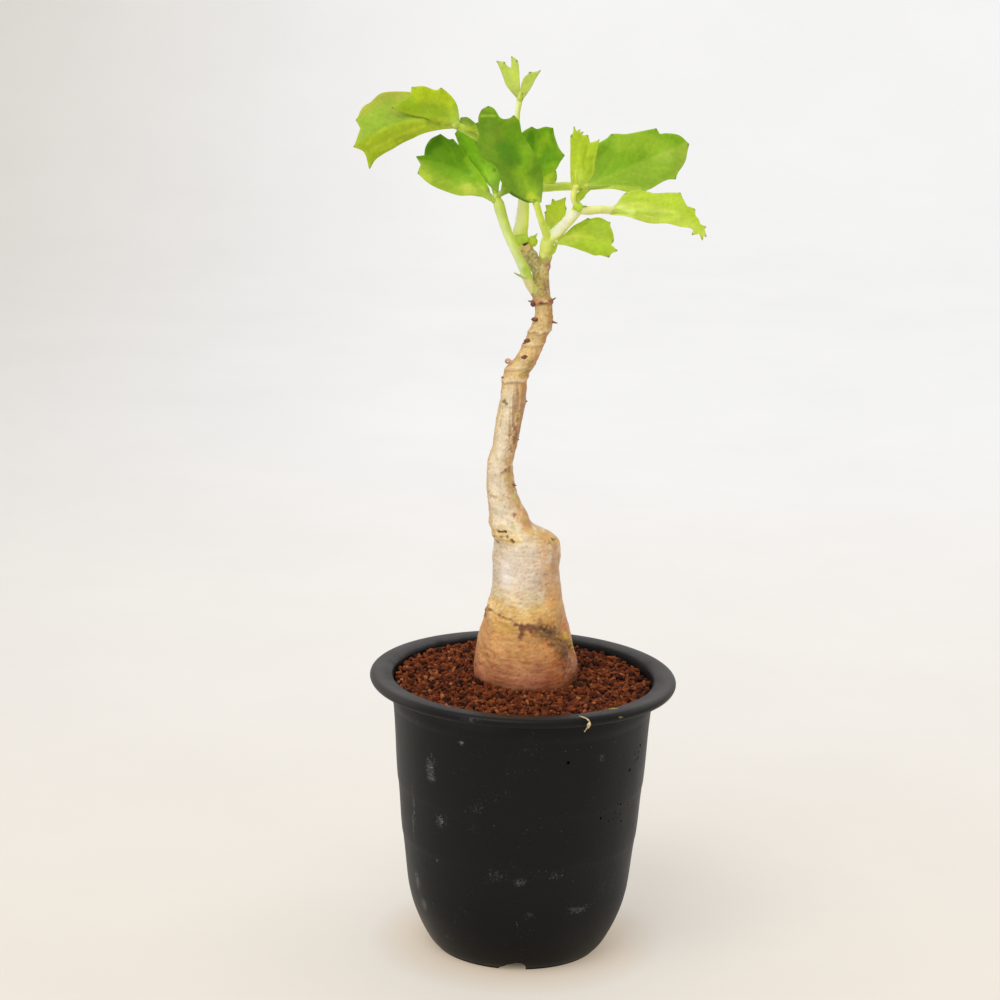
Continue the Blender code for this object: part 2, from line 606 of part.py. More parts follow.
def edge_distance(polygon, x, y):
    here = Vector((x, y))
    nearest = math.inf
    for start, end in zip(polygon, polygon[1:] + polygon[:1]):
        start, end = Vector(start), Vector(end)
        line = end - start
        share = max(0.0, min(1.0, (here - start).dot(line) / line.length_squared))
        nearest = min(nearest, (start + line * share - here).length)
    return nearest


def blade(leaflet):
    """The leaflet's solid: the same triangles on both faces, and a wall along the edge."""
    outline = leaflet.edge
    flat = [Vector(point) for point in outline]
    count = len(flat)
    low = [min(point[k] for point in outline) for k in (0, 1)]
    high = [max(point[k] for point in outline) for k in (0, 1)]
    row_step = BLADE_SPACING * math.sqrt(3) / 2
    for row in range(1, int((high[1] - low[1]) / row_step) + 1):
        for column in range(int((high[0] - low[0]) / BLADE_SPACING) + 2):
            x = low[0] + (column + 0.5 * (row % 2)) * BLADE_SPACING
            y = low[1] + row * row_step
            if inside(outline, x, y) and edge_distance(outline, x, y) > 0.45 * BLADE_SPACING:
                flat.append(Vector((x, y)))
    edges = [(k, (k + 1) % count) for k in range(count)]
    flat, _, faces, *_ = delaunay_2d_cdt(flat, edges, [], 1, 1e-5)
    front, rear = [], []
    for across, up in flat:
        offset = leaflet.normal(across, up) * BLADE / 2
        front.append(leaflet.point(across, up) + offset)
        rear.append(leaflet.point(across, up) - offset)
    total = len(front)
    faces = [tuple(face) for face in faces]
    turned_over = [tuple(total + k for k in reversed(face)) for face in faces]
    wall = border(faces, total)
    return front + rear, faces + turned_over + wall


def border(faces, total):
    """Two triangles for each edge of the front face that only one of its triangles has."""
    sides = {(a, b) for face in faces for a, b in zip(face, face[1:] + face[:1])}
    wall = []
    for a, b in sorted(sides):
        if (b, a) not in sides:
            wall.append((b, a, total + a))
            wall.append((b, total + a, total + b))
    return wall


def midrib(leaflet, start_radius):
    """A tapering rib from the petiole to the middle of the blade, showing on both of its faces."""
    points = []
    for share, taper in zip(RIB_SHARES, RIB_TAPER):
        points.append((*leaflet.rib_point(share), max(start_radius * taper, MIDRIB_LEAST)))
    return tube(points, PETIOLE_SIDES, steps=1)


def leaf(name, petiole, blades, seat, surface, stipules=()):
    """A petiole with its blades as one piece, cut clear of the stem that bears it."""
    shapes = [tube(petiole, PETIOLE_SIDES)]
    for leaflet in blades:
        shapes.append(blade(leaflet))
        if leaflet.length > RIBBED_LENGTH:
            shapes.append(midrib(leaflet, petiole[-1][3]))
    shapes += [thorn(*stipule) for stipule in stipules]
    piece = fused(name, shapes)
    combine(piece, seat, "DIFFERENCE")
    finish(piece, surface)


def leaves(middle, right):
    """The crown. middle and right are the cutters that keep a leaf clear of each shoot."""
    young = material("young_leaf", (0.42, 0.60, 0.06), 0.5)
    grown = material("grown_leaf", (0.25, 0.50, 0.06), 0.5)
    front = material("front_leaf", (0.12, 0.30, 0.06), 0.5)
    leaf("leaf_low_left", PETIOLE_LOW_LEFT, LOW_LEFT_BLADES, caudex_clearance(), grown, LOW_LEFT_STIPULES)
    leaf("leaf_upper_left", PETIOLE_UPPER_LEFT, UPPER_LEFT_BLADES, middle, young)
    leaf("leaf_far_right", PETIOLE_FAR_RIGHT, FAR_RIGHT_BLADES, middle, grown)
    leaf("leaf_tip", PETIOLE_TIP, TIP_BLADES, middle, young)
    leaf("leaf_front", PETIOLE_FRONT, FRONT_BLADES, right, front)
    leaf("leaf_upright", PETIOLE_UPRIGHT, UPRIGHT_BLADES, right, young, UPRIGHT_STIPULES)
    leaf("leaf_right", PETIOLE_RIGHT, RIGHT_BLADES, right, young)
    leaf("leaf_low_right", PETIOLE_LOW_RIGHT, LOW_RIGHT_BLADES, right, young)
    leaf("leaf_small", PETIOLE_SMALL, SMALL_BLADES, right, young)


def main():
    for old in list(bpy.data.objects):
        bpy.data.objects.remove(old)
    pot()
    soil()
    caudex()
    green = material("green_shoot", (0.45, 0.58, 0.16), 0.5)
    shoot("shoot_middle", SHOOT_MIDDLE, SHOOT_MIDDLE_KNOBS, [], green)
    shoot("shoot_right", SHOOT_RIGHT, SHOOT_RIGHT_KNOBS, SHOOT_RIGHT_SCARS, green)
    middle = shoot_clearance(SHOOT_MIDDLE, SHOOT_MIDDLE_KNOBS)
    right = shoot_clearance(SHOOT_RIGHT, SHOOT_RIGHT_KNOBS)
    leaves(middle, right)


main()
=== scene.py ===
"""Looks of the potted Cyphostemma cirrhosum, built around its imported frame.

Lengths are in millimetres and become metres in Shape.build(). Colours are linear.
"""

import json
import math

import bmesh
import bpy
import numpy as np
from mathutils import Matrix, Vector
from mathutils.geometry import delaunay_2d_cdt

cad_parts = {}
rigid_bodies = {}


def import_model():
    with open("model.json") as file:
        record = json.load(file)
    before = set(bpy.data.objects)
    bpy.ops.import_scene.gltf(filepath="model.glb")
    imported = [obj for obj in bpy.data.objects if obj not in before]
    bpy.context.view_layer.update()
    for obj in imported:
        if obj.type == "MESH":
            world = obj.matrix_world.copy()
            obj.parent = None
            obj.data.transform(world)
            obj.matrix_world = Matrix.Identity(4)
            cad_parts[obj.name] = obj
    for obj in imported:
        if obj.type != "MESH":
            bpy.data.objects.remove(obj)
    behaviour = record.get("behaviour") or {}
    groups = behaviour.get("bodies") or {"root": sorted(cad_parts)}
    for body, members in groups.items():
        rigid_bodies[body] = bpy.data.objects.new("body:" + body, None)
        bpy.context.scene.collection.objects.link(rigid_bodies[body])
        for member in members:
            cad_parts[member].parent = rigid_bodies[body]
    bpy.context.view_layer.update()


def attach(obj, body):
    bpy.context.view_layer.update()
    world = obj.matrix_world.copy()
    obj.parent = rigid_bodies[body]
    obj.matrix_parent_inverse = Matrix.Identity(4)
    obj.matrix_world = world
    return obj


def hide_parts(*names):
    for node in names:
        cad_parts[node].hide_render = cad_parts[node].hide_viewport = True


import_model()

MM = 0.001

# Camera: place, lens, pitch and roll that fit the photograph
CAMERA = (-9.374, -1144.07, 466.297)
CAMERA_LENS = 126
CAMERA_PITCH = 15.05
CAMERA_ROLL = 1.4

# Pot and soil, with the part's measures in finer steps
POT_RADIUS = 52.5
POT_HEIGHT = 97
WALL = 1.2
PLATE_Z = 3
FOOT_RADIUS = 28.3
FOOT_WIDTH = 2.9
DRAIN_RADIUS = 5
DRAIN_HOLES = 6
DRAIN_RING_RADIUS = 16
SMALL_DRAIN_RADIUS = 3.5
SOIL_Z = 94.3
# Foot notch: across and height. It is higher and more lopsided than the part's, as the photo shows it.
NOTCH = [(4.8, -1), (4.8, 1.6), (4.2, 2.9), (3, 3.5), (1.2, 3.5), (-1.6, 2.5), (-4.4, 0.3), (-4.4, -1)]
NOTCH_SHIFT = -1.5
# Wall: height and radius. Lip: radius and height.
POT_WALL = [
    (0, FOOT_RADIUS), (1.6, 29.8), (5.5, 32.3), (11, 34.9), (16, 36.7), (20, 37.7), (22, 38.1),
    (39.4, 40.2), (41.4, 40.6), (58.4, 42.1), (60.4, 42.45), (86, 44.3), (88, 44.85), (93.4, 45.2),
]
POT_LIP = [
    (46, 94.9), (50.3, 95), (50.9, 94.1), (51.7, 93.9), (52.3, 94.6), (POT_RADIUS, 95.5), (52, 96.5),
    (50.6, POT_HEIGHT), (46.4, 96.7), (45, 96.1),
]

# Caudex and stem: height, left and right edge, middle in depth, half depth
CAUDEX_SECTIONS = [
    (74, -8, 9.5, 5.5, 8.5), (77, -12, 14, 5.8, 12.5), (84, -15.4, 17.4, 6, 15.8),
    (91, -16.8, 18.9, 6, 17.2), (97, -17.1, 19.1, 6, 17.6), (102, -16.8, 18.2, 6, 17.1),
    (107, -16.1, 16.9, 5.9, 16.2), (113, -14.4, 15.1, 5.7, 14.7), (119, -13.2, 13.7, 5.4, 13.4),
    (129.5, -11.3, 11.9, 4.9, 11.6), (136.5, -11.3, 11.6, 4.6, 11.2), (142.5, -11.1, 11.4, 4.2, 10.8),
    (145.4, -11.7, 9.7, 3.9, 10), (148.1, -12.4, 4.5, 3.6, 8.1), (150.1, -13, 1.6, 3.5, 7),
    (152.5, -12.8, 0.4, 3.5, 6.4), (158, -13.6, -2.6, 3, 5.5), (164.3, -14, -4.5, 2.5, 4.8),
    (170.4, -14.1, -5.3, 2, 4.4), (178.6, -12.2, -3.8, 1.5, 4.2), (186.4, -11.5, -2.7, 1, 4.3),
    (193.3, -10.2, -1.4, 1, 4.3), (200.1, -9.7, -1.3, 1.5, 4), (204.2, -8.5, 0.6, 2, 4),
    (208.2, -5.1, 2.6, 2.5, 3.6), (214.4, -2.1, 5, 3, 3.2), (219.5, -0.1, 6.9, 3.5, 3.3),
    (223.2, 0.8, 6.7, 3.5, 3), (226.6, 0.2, 6.4, 3.5, 3), (230.7, -1.2, 5.5, 3.5, 3),
    (235.8, 0.3, 5.2, 3.5, 2.5), (240.3, 1.9, 5.5, 3.5, 1.9),
]
# Points of x, y, z and radius, the shoots a little thicker than the part's
STUB = [(2.4, 4, 232, 2.3), (1.7, 4.2, 237, 2.5), (-0.4, 4.5, 240.8, 2.3), (-3.4, 5, 245.2, 2.15)]
SHOOT_MIDDLE = [
    (-2.4, 4.85, 243.4, 1.8), (-3.7, 5.1, 246, 2.3), (-4.8, 5.4, 248.6, 2.6), (-4.6, 5.6, 250.8, 2.4),
    (-4.3, 5.8, 253.4, 2.25), (-4, 6, 258.5, 1.95), (-4.3, 6, 265.6, 1.55), (-5.9, 6, 277.3, 1.2),
    (-6.8, 5, 288.1, 0.9), (-6.2, 5, 293.6, 1),
]
SHOOT_RIGHT = [
    (3.6, 3.5, 239.2, 1.6), (3.8, 3.3, 241.4, 2.1), (4, 2.8, 244.4, 2.25), (4.5, 1.8, 247.8, 2.25),
    (6.6, 0.9, 250, 2.1), (9.6, 0, 253.5, 1.9), (13.5, -2.2, 258.7, 1.8), (14, -2.5, 260, 1.6),
]
CURL = [
    (-6.2, 1, 205.5, 0.5), (-6.9, 0.5, 206.7, 0.5), (-7.9, 0.2, 207.4, 0.45), (-8.6, 0.4, 206.8, 0.4),
    (-8.1, 0.6, 206.1, 0.35), (-7.5, 0.7, 206.3, 0.25),
]


# Small tools


def mix(a, b, share):
    share = np.asarray(share, float)
    share = share[..., None] if share.ndim and np.ndim(a) else share
    return np.asarray(a, float) * (1 - share) + np.asarray(b, float) * share


def dyed(tint, factor, share):
    """The tint, multiplied by the factor where share is 1."""
    return mix(tint, tint * factor, share)


def ease(value, low, high):
    """0 below low, 1 above high, smooth between."""
    share = np.clip((np.asarray(value, float) - low) / (high - low), 0, 1)
    return share * share * (3 - 2 * share)


def bell(value, width):
    """1 at 0, and close to 0 from twice the width on."""
    return np.exp(-((value / width) ** 2))


def ripple(points, size, seed, waves=14):
    """A smooth random field between about -1 and 1, with features of about that size."""
    draw = np.random.default_rng(seed)
    total = np.zeros(len(points))
    for _ in range(waves):
        way = draw.normal(size=3)
        way *= draw.uniform(0.6, 1.6) * 2 * math.pi / size / np.linalg.norm(way)
        total += np.sin(points @ way + draw.uniform(0, 2 * math.pi))
    return total / math.sqrt(waves / 2) / 1.6


def patchy(points, size, seed, low, high, waves=14):
    """Soft random patches: 0 where the ripple is below low, 1 where it is above high."""
    return ease(ripple(points, size, seed, waves), low, high)


def near(points, line):
    """Each point's distance from a line of points."""
    best = np.full(len(points), np.inf)
    line = [np.array(p, float) for p in line]
    for a, b in zip(line, line[1:] or line):
        way = b - a
        share = np.clip((points - a) @ way / max(way @ way, 1e-9), 0, 1)
        best = np.minimum(best, np.linalg.norm(points - a - share[:, None] * way, axis=1))
    return best


def catmull(points, steps):
    """The points with more between each two, on a Catmull-Rom curve."""
    knots = np.array(points, float)
    knots = np.vstack([2 * knots[0] - knots[1], knots, 2 * knots[-1] - knots[-2]])
    path = []
    for before, start, end, after in zip(knots, knots[1:], knots[2:], knots[3:]):
        for t in np.arange(steps) / steps:
            bend = (end - before) * t + (2 * before - 5 * start + 4 * end - after) * t**2
            path.append(start + 0.5 * (bend + (3 * start - before - 3 * end + after) * t**3))
    return np.array(path + [knots[-2]])


def hermite(t, start, end, leaving, arriving, step=1):
    """The place at t on a curve from start to end that leaves and arrives at these slopes."""
    first = (2 * t**3 - 3 * t**2 + 1) * start + (t**3 - 2 * t**2 + t) * step * leaving
    return first + (3 * t**2 - 2 * t**3) * end + (t**3 - t**2) * step * arriving


def even(rows, heights):
    """Rows of (height, values...) read at many heights, on a curve that never swings past them."""
    rows = np.array(rows, float)
    z, values = rows[:, 0], rows[:, 1:]
    rise = np.diff(values, axis=0) / np.diff(z)[:, None]
    slope = np.zeros_like(values)
    slope[0], slope[-1] = rise[0], rise[-1]
    a, b = rise[:-1], rise[1:]
    slope[1:-1] = np.where(a * b > 0, 2 * a * b / np.where(a * b > 0, a + b, 1), 0)
    k = np.clip(np.searchsorted(z, heights, side="right") - 1, 0, len(z) - 2)
    step = (z[k + 1] - z[k])[:, None]
    t = (np.asarray(heights)[:, None] - z[k][:, None]) / step
    return hermite(t, values[k], values[k + 1], slope[k], slope[k + 1], step)


class Shape:
    """Points, faces and colours of one piece, gathered from its forms."""

    def __init__(self):
        self.points = []
        self.faces = []
        self.tints = []
        self.slots = []
        self.count = 0

    def add(self, points, faces, tint, slot=0):
        points = np.asarray(points, float)
        self.faces += [tuple(self.count + k for k in face) for face in faces]
        self.slots += [slot] * len(faces)
        self.points.append(points)
        self.tints.append(np.broadcast_to(np.asarray(tint, float), (len(points), 3)))
        self.count += len(points)

    def build(self, name, *surfaces, sharp=60):
        data = bpy.data.meshes.new(name)
        data.from_pydata((np.vstack(self.points) * MM).tolist(), [], self.faces)
        data.color_attributes.new("tint", "FLOAT_COLOR", "POINT")
        tints = np.zeros((self.count, 4))
        tints[:, :3] = np.clip(np.vstack(self.tints), 0, 1)
        paint(data, tints)
        for surface in surfaces:
            data.materials.append(surface)
        data.polygons.foreach_set("material_index", self.slots)
        data.update()
        data.shade_smooth()
        data.set_sharp_from_angle(angle=math.radians(sharp))
        return placed(name, data)


def paint(data, tints):
    data.color_attributes["tint"].data.foreach_set("color", tints.astype(np.float32).ravel())


def placed(name, data):
    thing = bpy.data.objects.new(name, data)
    bpy.context.scene.collection.objects.link(thing)
    return thing


def own(piece, node):
    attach(piece, "root")
    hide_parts(node)


def turns(sides):
    return np.arange(sides) * 2 * math.pi / sides


def circle(radius, height, sides):
    angles = turns(sides)
    return np.stack([radius * np.cos(angles), radius * np.sin(angles), np.full(sides, height)], axis=1)


def skin(rings, closed=False):
    """Faces of rings (count, sides, 3) joined one to the next: capped at both ends, or closed round."""
    count, sides = len(rings), len(rings[0])
    faces = []
    for i in range(count - (not closed)):
        low, high = i * sides, (i + 1) % count * sides
        for k in range(sides):
            n = (k + 1) % sides
            faces.append((low + k, low + n, high + n, high + k))
    if not closed:
        faces.append(tuple(reversed(range(sides))))
        faces.append(tuple(range((count - 1) * sides, count * sides)))
    return np.vstack(rings), faces


def tube(points, sides=18, steps=8, round_end=False, rough=0, seed=1):
    """A round tube along points of x, y, z, radius: points, faces, and each point's share along it."""
    path = catmull(points, steps)
    centres, radii = path[:, :3], path[:, 3]
    ways = np.gradient(centres, axis=0)
    ways /= np.linalg.norm(ways, axis=1)[:, None]
    side = np.array([1, 0.2, 0.1])
    cosines, sines = np.cos(turns(sides))[:, None], np.sin(turns(sides))[:, None]
    rings, shares = [], []
    for i, (centre, way, radius) in enumerate(zip(centres, ways, radii)):
        side = side - way * (side @ way)
        side /= np.linalg.norm(side)
        over = np.cross(way, side)
        rings.append(centre + radius * (cosines * side + sines * over))
        shares += [i / (len(path) - 1)] * sides
    if round_end:
        for tilt in (0.35, 0.7, 1.05, 1.35):
            centre = centres[-1] + ways[-1] * radii[-1] * math.sin(tilt)
            rings.append(centre + radii[-1] * math.cos(tilt) * (cosines * side + sines * over))
            shares += [1] * sides
    points, faces = skin(rings)
    if rough:
        middle = np.repeat([ring.mean(axis=0) for ring in rings], sides, axis=0)
        points = points + (points - middle) * (rough * ripple(points, 2.5, seed))[:, None]
    return points, faces, np.array(shares)


def blob(centre, sizes, seed=0, rough=0, rows=10, sides=16):
    """A small rounded form with its half sizes along X, Y and Z."""
    tilts = [math.pi * (i + 0.35) / (rows - 0.3) for i in range(rows)]
    points, faces = skin([circle(math.sin(tilt), -math.cos(tilt), sides) for tilt in tilts])
    points = points * (1 + rough * ripple(points, 1.2, seed))[:, None]
    return points * np.array(sizes) + np.array(centre), faces


# Materials


class Look:
    """One material, built a node at a time."""

    def __init__(self, name):
        self.made = bpy.data.materials.new(name)
        self.made.use_nodes = True
        self.nodes = self.made.node_tree.nodes
        self.shader = self.nodes["Principled BSDF"]

    def fill(self, node, sockets):
        """Sets each of a node's sockets to a constant, or links another node's output to it."""
        for key, value in sockets.items():
            if isinstance(value, bpy.types.NodeSocket):
                self.made.node_tree.links.new(value, node.inputs[key])
            else:
                node.inputs[key].default_value = value

    def add(self, kind, sockets, out, **settings):
        """Adds a node and gives back one of its outputs."""
        node = self.nodes.new(kind)
        for key, value in settings.items():
            setattr(node, key, value)
        self.fill(node, sockets)
        return node.outputs[out]

    def place(self):
        return self.add("ShaderNodeTexCoord", {}, "Object")

    def axis(self, letter):
        return self.add("ShaderNodeSeparateXYZ", {"Vector": self.place()}, letter)

    def tint(self, out="Color"):
        return self.add("ShaderNodeAttribute", {}, out, attribute_name="tint")

    def noise(self, scale, detail=4, stretch=None, rough=0.55):
        """Noise in object space, with features of 1/scale metres."""
        where = self.place()
        if stretch:
            where = self.add("ShaderNodeMapping", {"Vector": where, "Scale": stretch}, "Vector")
        sockets = {"Vector": where, "Scale": scale, "Detail": detail, "Roughness": rough}
        return self.add("ShaderNodeTexNoise", sockets, "Fac")

    def span(self, source, low, high, start=0.3, end=0.7):
        """The source's part from start to end, stretched to low .. high."""
        sockets = {"Value": source, "From Min": start, "From Max": end, "To Min": low, "To Max": high}
        return self.add("ShaderNodeMapRange", sockets, "Result")

    def scaled(self, colour, factor):
        sockets = {0: colour, "Scale": factor}
        return self.add("ShaderNodeVectorMath", sockets, "Vector", operation="SCALE")

    def mottled(self, colour, *parts):
        """The colour, made darker and lighter by each noise between its two factors."""
        for source, low, high in parts:
            colour = self.scaled(colour, self.span(source, low, high))
        return colour

    def blended(self, share, colour, other):
        """The colour mixed with another one, by a Mix node's colour sockets."""
        return self.add("ShaderNodeMix", {"Factor": share, 6: colour, 7: other}, 2, data_type="RGBA")

    def bumped(self, height, distance, **before):
        return self.add("ShaderNodeBump", {"Height": height, "Distance": distance, **before}, "Normal")

    def cover(self, other, share):
        """Blends another shader over the main one."""
        sockets = {"Fac": share, 1: self.shader.outputs["BSDF"], 2: other}
        blend = self.add("ShaderNodeMixShader", sockets, "Shader")
        self.fill(self.nodes["Material Output"], {"Surface": blend})


def foliage(name):
    """Fleshy leaf: waxy sheen, fine mottling, a faint net of veins, and light that passes through."""
    look = Look(name)
    fine, broad = look.noise(900), look.noise(160, 3)
    colour = look.mottled(look.tint(), (fine, 0.93, 1.07), (broad, 0.95, 1.05))
    sockets = {"Vector": look.place(), "Scale": 620}
    net = look.add("ShaderNodeTexVoronoi", sockets, "Distance", feature="DISTANCE_TO_EDGE")
    normal = look.bumped(net, 0.0001, Normal=look.bumped(fine, 0.00006))
    look.fill(look.shader, {
        "Base Color": colour, "Roughness": look.span(broad, 0.42, 0.6), "Specular IOR Level": 0.22,
        "Subsurface Weight": 0.12, "Subsurface Radius": (0.9, 1, 0.2), "Subsurface Scale": 0.0009,
        "Normal": normal,
    })
    through = look.add("ShaderNodeBsdfTranslucent", {"Color": colour, "Normal": normal}, "BSDF")
    look.cover(through, 0.34)
    return look.made


def stalk(name):
    """Green shoots and petioles: smooth and fleshy, with faint lengthwise streaks and a waxy bloom."""
    look = Look(name)
    streak, bloom = look.noise(420, 5, (1, 1, 0.16)), look.noise(240, 3)
    look.fill(look.shader, {
        "Base Color": look.mottled(look.tint(), (streak, 0.92, 1.08), (bloom, 0.94, 1.06)),
        "Roughness": look.span(bloom, 0.38, 0.55), "Specular IOR Level": 0.35, "Subsurface Weight": 0.3,
        "Subsurface Radius": (0.9, 1, 0.3), "Subsurface Scale": 0.0012,
        "Normal": look.bumped(streak, 0.00012),
    })
    return look.made


def bark(name):
    """Papery bark: level wrinkles on the caudex, upright streaks on the stem, dots, and a satin skin."""
    look = Look(name)
    level = look.noise(330, 6, (0.4, 0.4, 2.6), 0.62)
    upright = look.noise(420, 6, (1.7, 1.7, 0.3), 0.62)
    grain, patch = look.noise(1000, 5, rough=0.65), look.noise(150, 5)
    share = look.span(look.axis("Z"), 0, 1, 0.144, 0.165)
    lines = look.add("ShaderNodeMix", {"Factor": share, "A": level, "B": upright}, "Result")
    colour = look.mottled(look.tint(), (lines, 0.9, 1.12), (patch, 0.93, 1.09), (grain, 0.88, 1.12))
    look.fill(look.shader, {
        "Base Color": colour, "Roughness": look.span(patch, 0.36, 0.56),
        "Normal": look.bumped(grain, 0.00016, Normal=look.bumped(lines, 0.0002)),
    })
    return look.made


def clay(name):
    """Baked-clay grains: matte, pitted, dusty."""
    look = Look(name)
    pits = look.noise(1500, 5)
    look.fill(look.shader, {
        "Base Color": look.mottled(look.tint(), (pits, 0.75, 1.3)), "Roughness": look.span(pits, 0.6, 0.9),
        "Specular IOR Level": 0.1, "Normal": look.bumped(pits, 0.0005),
    })
    return look.made


def plastic(name):
    """Charcoal pot plastic: satin, faintly pitted, with chalky dust, and a painted sheen on the lip, where
    the tint's alpha asks for it.
    """
    look = Look(name)
    peel, smear = look.noise(1300, 3), look.noise(45, 5, (1, 1, 0.45))
    sockets = {0: look.noise(1100, 8, rough=0.75), 1: look.tint("Alpha")}
    amount = look.add("ShaderNodeMath", sockets, "Value", operation="ADD")
    dust_and_sheen = look.span(amount, 0, 1, 0.74, 1.2)
    clean = look.mottled(look.tint(), (smear, 0.85, 1.2))
    look.fill(look.shader, {
        "Base Color": look.blended(dust_and_sheen, clean, (0.15, 0.147, 0.14, 1)),
        "Roughness": look.span(smear, 0.36, 0.52), "Specular IOR Level": 0.16,
        "Normal": look.bumped(peel, 0.00006),
    })
    return look.made


def crust(name, rough, shine=0.3):
    """Dried film and specks on the pot."""
    look = Look(name)
    fleck = look.noise(1400)
    look.fill(look.shader, {
        "Base Color": look.mottled(look.tint(), (fleck, 0.6, 1.2)), "Normal": look.bumped(fleck, 0.0001),
        "Roughness": look.span(fleck, 0.85 * rough, rough), "Specular IOR Level": shine,
    })
    return look.made


def matte_floor():
    """Pale floor, warmer close by, with a painted warm shadow round the pot and a darker one under it,
    painted shade far left, and a glow of its own, a painted light that lightens its shadows.
    """
    look = Look("floor")
    deep = look.span(look.axis("Y"), 0, 1, -0.2, 0.76)
    ramp = look.add("ShaderNodeValToRGB", {"Fac": deep}, "Color")
    ramp.node.color_ramp.elements[0].color = (0.87, 0.8, 0.7, 1)
    ramp.node.color_ramp.elements[1].color = (0.925, 0.925, 0.93, 1)
    # Painted shade: darker towards the far left.
    leftward = look.span(look.axis("X"), 0, 1, -0.05, -0.5)
    far_left_shade = look.add("ShaderNodeMath", {0: leftward, 1: deep}, "Value", operation="MULTIPLY")
    away = look.add("ShaderNodeVectorMath", {0: look.place()}, "Value", operation="LENGTH")
    colour = look.blended(far_left_shade, ramp, (0.68, 0.65, 0.6, 1))
    # Painted shadow: warmer and darker round the pot's foot, darker still under the pot.
    colour = look.blended(look.span(away, 0, 1, 0.052, 0.026), colour, (0.8, 0.66, 0.5, 1))
    colour = look.scaled(colour, look.span(away, 1, 0.3, 0.0285, 0.024))
    colour = look.mottled(colour, (look.noise(9, 6, rough=0.6), 0.98, 1.015))
    look.fill(look.shader, {"Base Color": colour, "Roughness": 0.65, "Specular IOR Level": 0.25})
    # Painted light: the floor glows, which lightens the shadows on it.
    glow = look.add("ShaderNodeEmission", {"Color": colour, "Strength": 0.95}, "Emission")
    look.cover(glow, 0.42)
    return look.made


# Leaves

YOUNG = (0.46, 0.66, 0.03)
PALE = (0.6, 0.74, 0.14)
TOOTH = (0.2, 0.17, 0.04)
LIME = (0.58, 0.74, 0.09)
PALE_SHOOT = (0.95, 0.99, 0.44)
GLAUCOUS = (0.78, 0.95, 0.36)
BLADE_STEP = 0.5
EDGE_STEP = 0.35
RIM = 0.16
VEIN_STEP = 5.6
VEIN_SLANT = 1.3
# Turns of the edge, in radians, from which a knot is a tooth and from which it stays sharp
TOOTH_TURN = 0.6
SHARP_TURN = 0.75
# Leaflets longer than this have a midrib of their own
MIDRIB_LENGTH = 9


class Leaflet:
    """A blade on a gently curved sheet, as in the part's source, with a soft crease along its midrib."""

    def __init__(self, leaf, base, tip, slope, seed, cup=0, droop=0, sway=0, fold=0, vein=1,
                 halves=((1, 1, 1), (1, 1, 1)), spine=None, marks=(), edge=()):
        self.leaf, self.base, self.tip, self.slope, self.seed = leaf, base, tip, slope, seed
        self.cup, self.droop, self.sway, self.fold, self.vein = cup, droop, sway, fold, vein
        self.halves, self.spine, self.marks, self.edge = halves, spine, marks, edge
        self.length = math.hypot(*tip)

    def along(self, across, up):
        return (across * self.tip[0] + up * self.tip[1]) / self.length

    def aside(self, across, up):
        share = np.clip(self.along(across, up) / self.length, 0, 1)
        return (across * self.tip[1] - up * self.tip[0]) / self.length - self.sway * 4 * share * (1 - share)

    def sheet(self, across, up):
        along, aside = self.along(across, up), self.aside(across, up)
        back = self.slope[0] * across + self.slope[1] * up + self.cup * aside**2 + self.droop * along**2
        back = back + self.fold * (np.sqrt(aside**2 + 0.36) - 0.6)
        return np.stack([self.base[0] + across, self.base[1] + back, self.base[2] + up], axis=1)

    def normals(self, across, up):
        here = self.sheet(across, up)
        way = np.cross(self.sheet(across + 0.05, up) - here, self.sheet(across, up + 0.05) - here)
        return way / np.linalg.norm(way, axis=1)[:, None]

    def rib(self):
        """Where the petiole runs on into the blade."""
        spine = self.spine or [self.swayed(share) for share in (-0.03, 0.05, 0.12, 0.19, 0.26)]
        return self.sheet(*np.array(spine).T)

    def swayed(self, share):
        aside = self.sway * 4 * share * (1 - share) / self.length
        return (self.tip[0] * share + self.tip[1] * aside, self.tip[1] * share - self.tip[0] * aside)


def turn_at(before, here, after):
    a, b = here - before, after - here
    return math.atan2(a[0] * b[1] - a[1] * b[0], a @ b)


def outline(edge):
    """The edge as a fine curve that stays sharp at teeth and notches, its teeth, and its direction."""
    knots = [np.array(point, float) for point in edge]
    count = len(knots)
    spread = sum(a[0] * b[1] - a[1] * b[0] for a, b in zip(knots, knots[1:] + knots[:1]))
    bends = [turn_at(knots[k - 1], knots[k], knots[(k + 1) % count]) for k in range(count)]
    curve, teeth = [], []
    for k in range(count):
        n = (k + 1) % count
        chord = knots[n] - knots[k]
        length = np.linalg.norm(chord)
        pulls = []
        for at in (k, n):
            way = knots[(at + 1) % count] - knots[at - 1]
            pulls.append(chord if abs(bends[at]) > SHARP_TURN else way / np.linalg.norm(way) * length)
        if abs(bends[k]) > TOOTH_TURN and bends[k] * spread > 0:
            teeth.append(knots[k])
        steps = max(2, round(length / EDGE_STEP))
        curve += [hermite(t, knots[k], knots[n], *pulls) for t in np.arange(steps) / steps]
    return np.array(curve), teeth, spread > 0


def within(curve, points):
    """Which points lie inside the closed curve, and how far each is from it."""
    inside = np.zeros(len(points), bool)
    x, y = points[:, 0], points[:, 1]
    for (ax, ay), (bx, by) in zip(curve, np.roll(curve, -1, axis=0)):
        if ay != by:
            inside ^= ((ay > y) != (by > y)) & (x < ax + (bx - ax) * (y - ay) / (by - ay))
    away = np.sqrt(((points[:, None] - curve[None]) ** 2).sum(axis=2)).min(axis=1)
    return inside, away


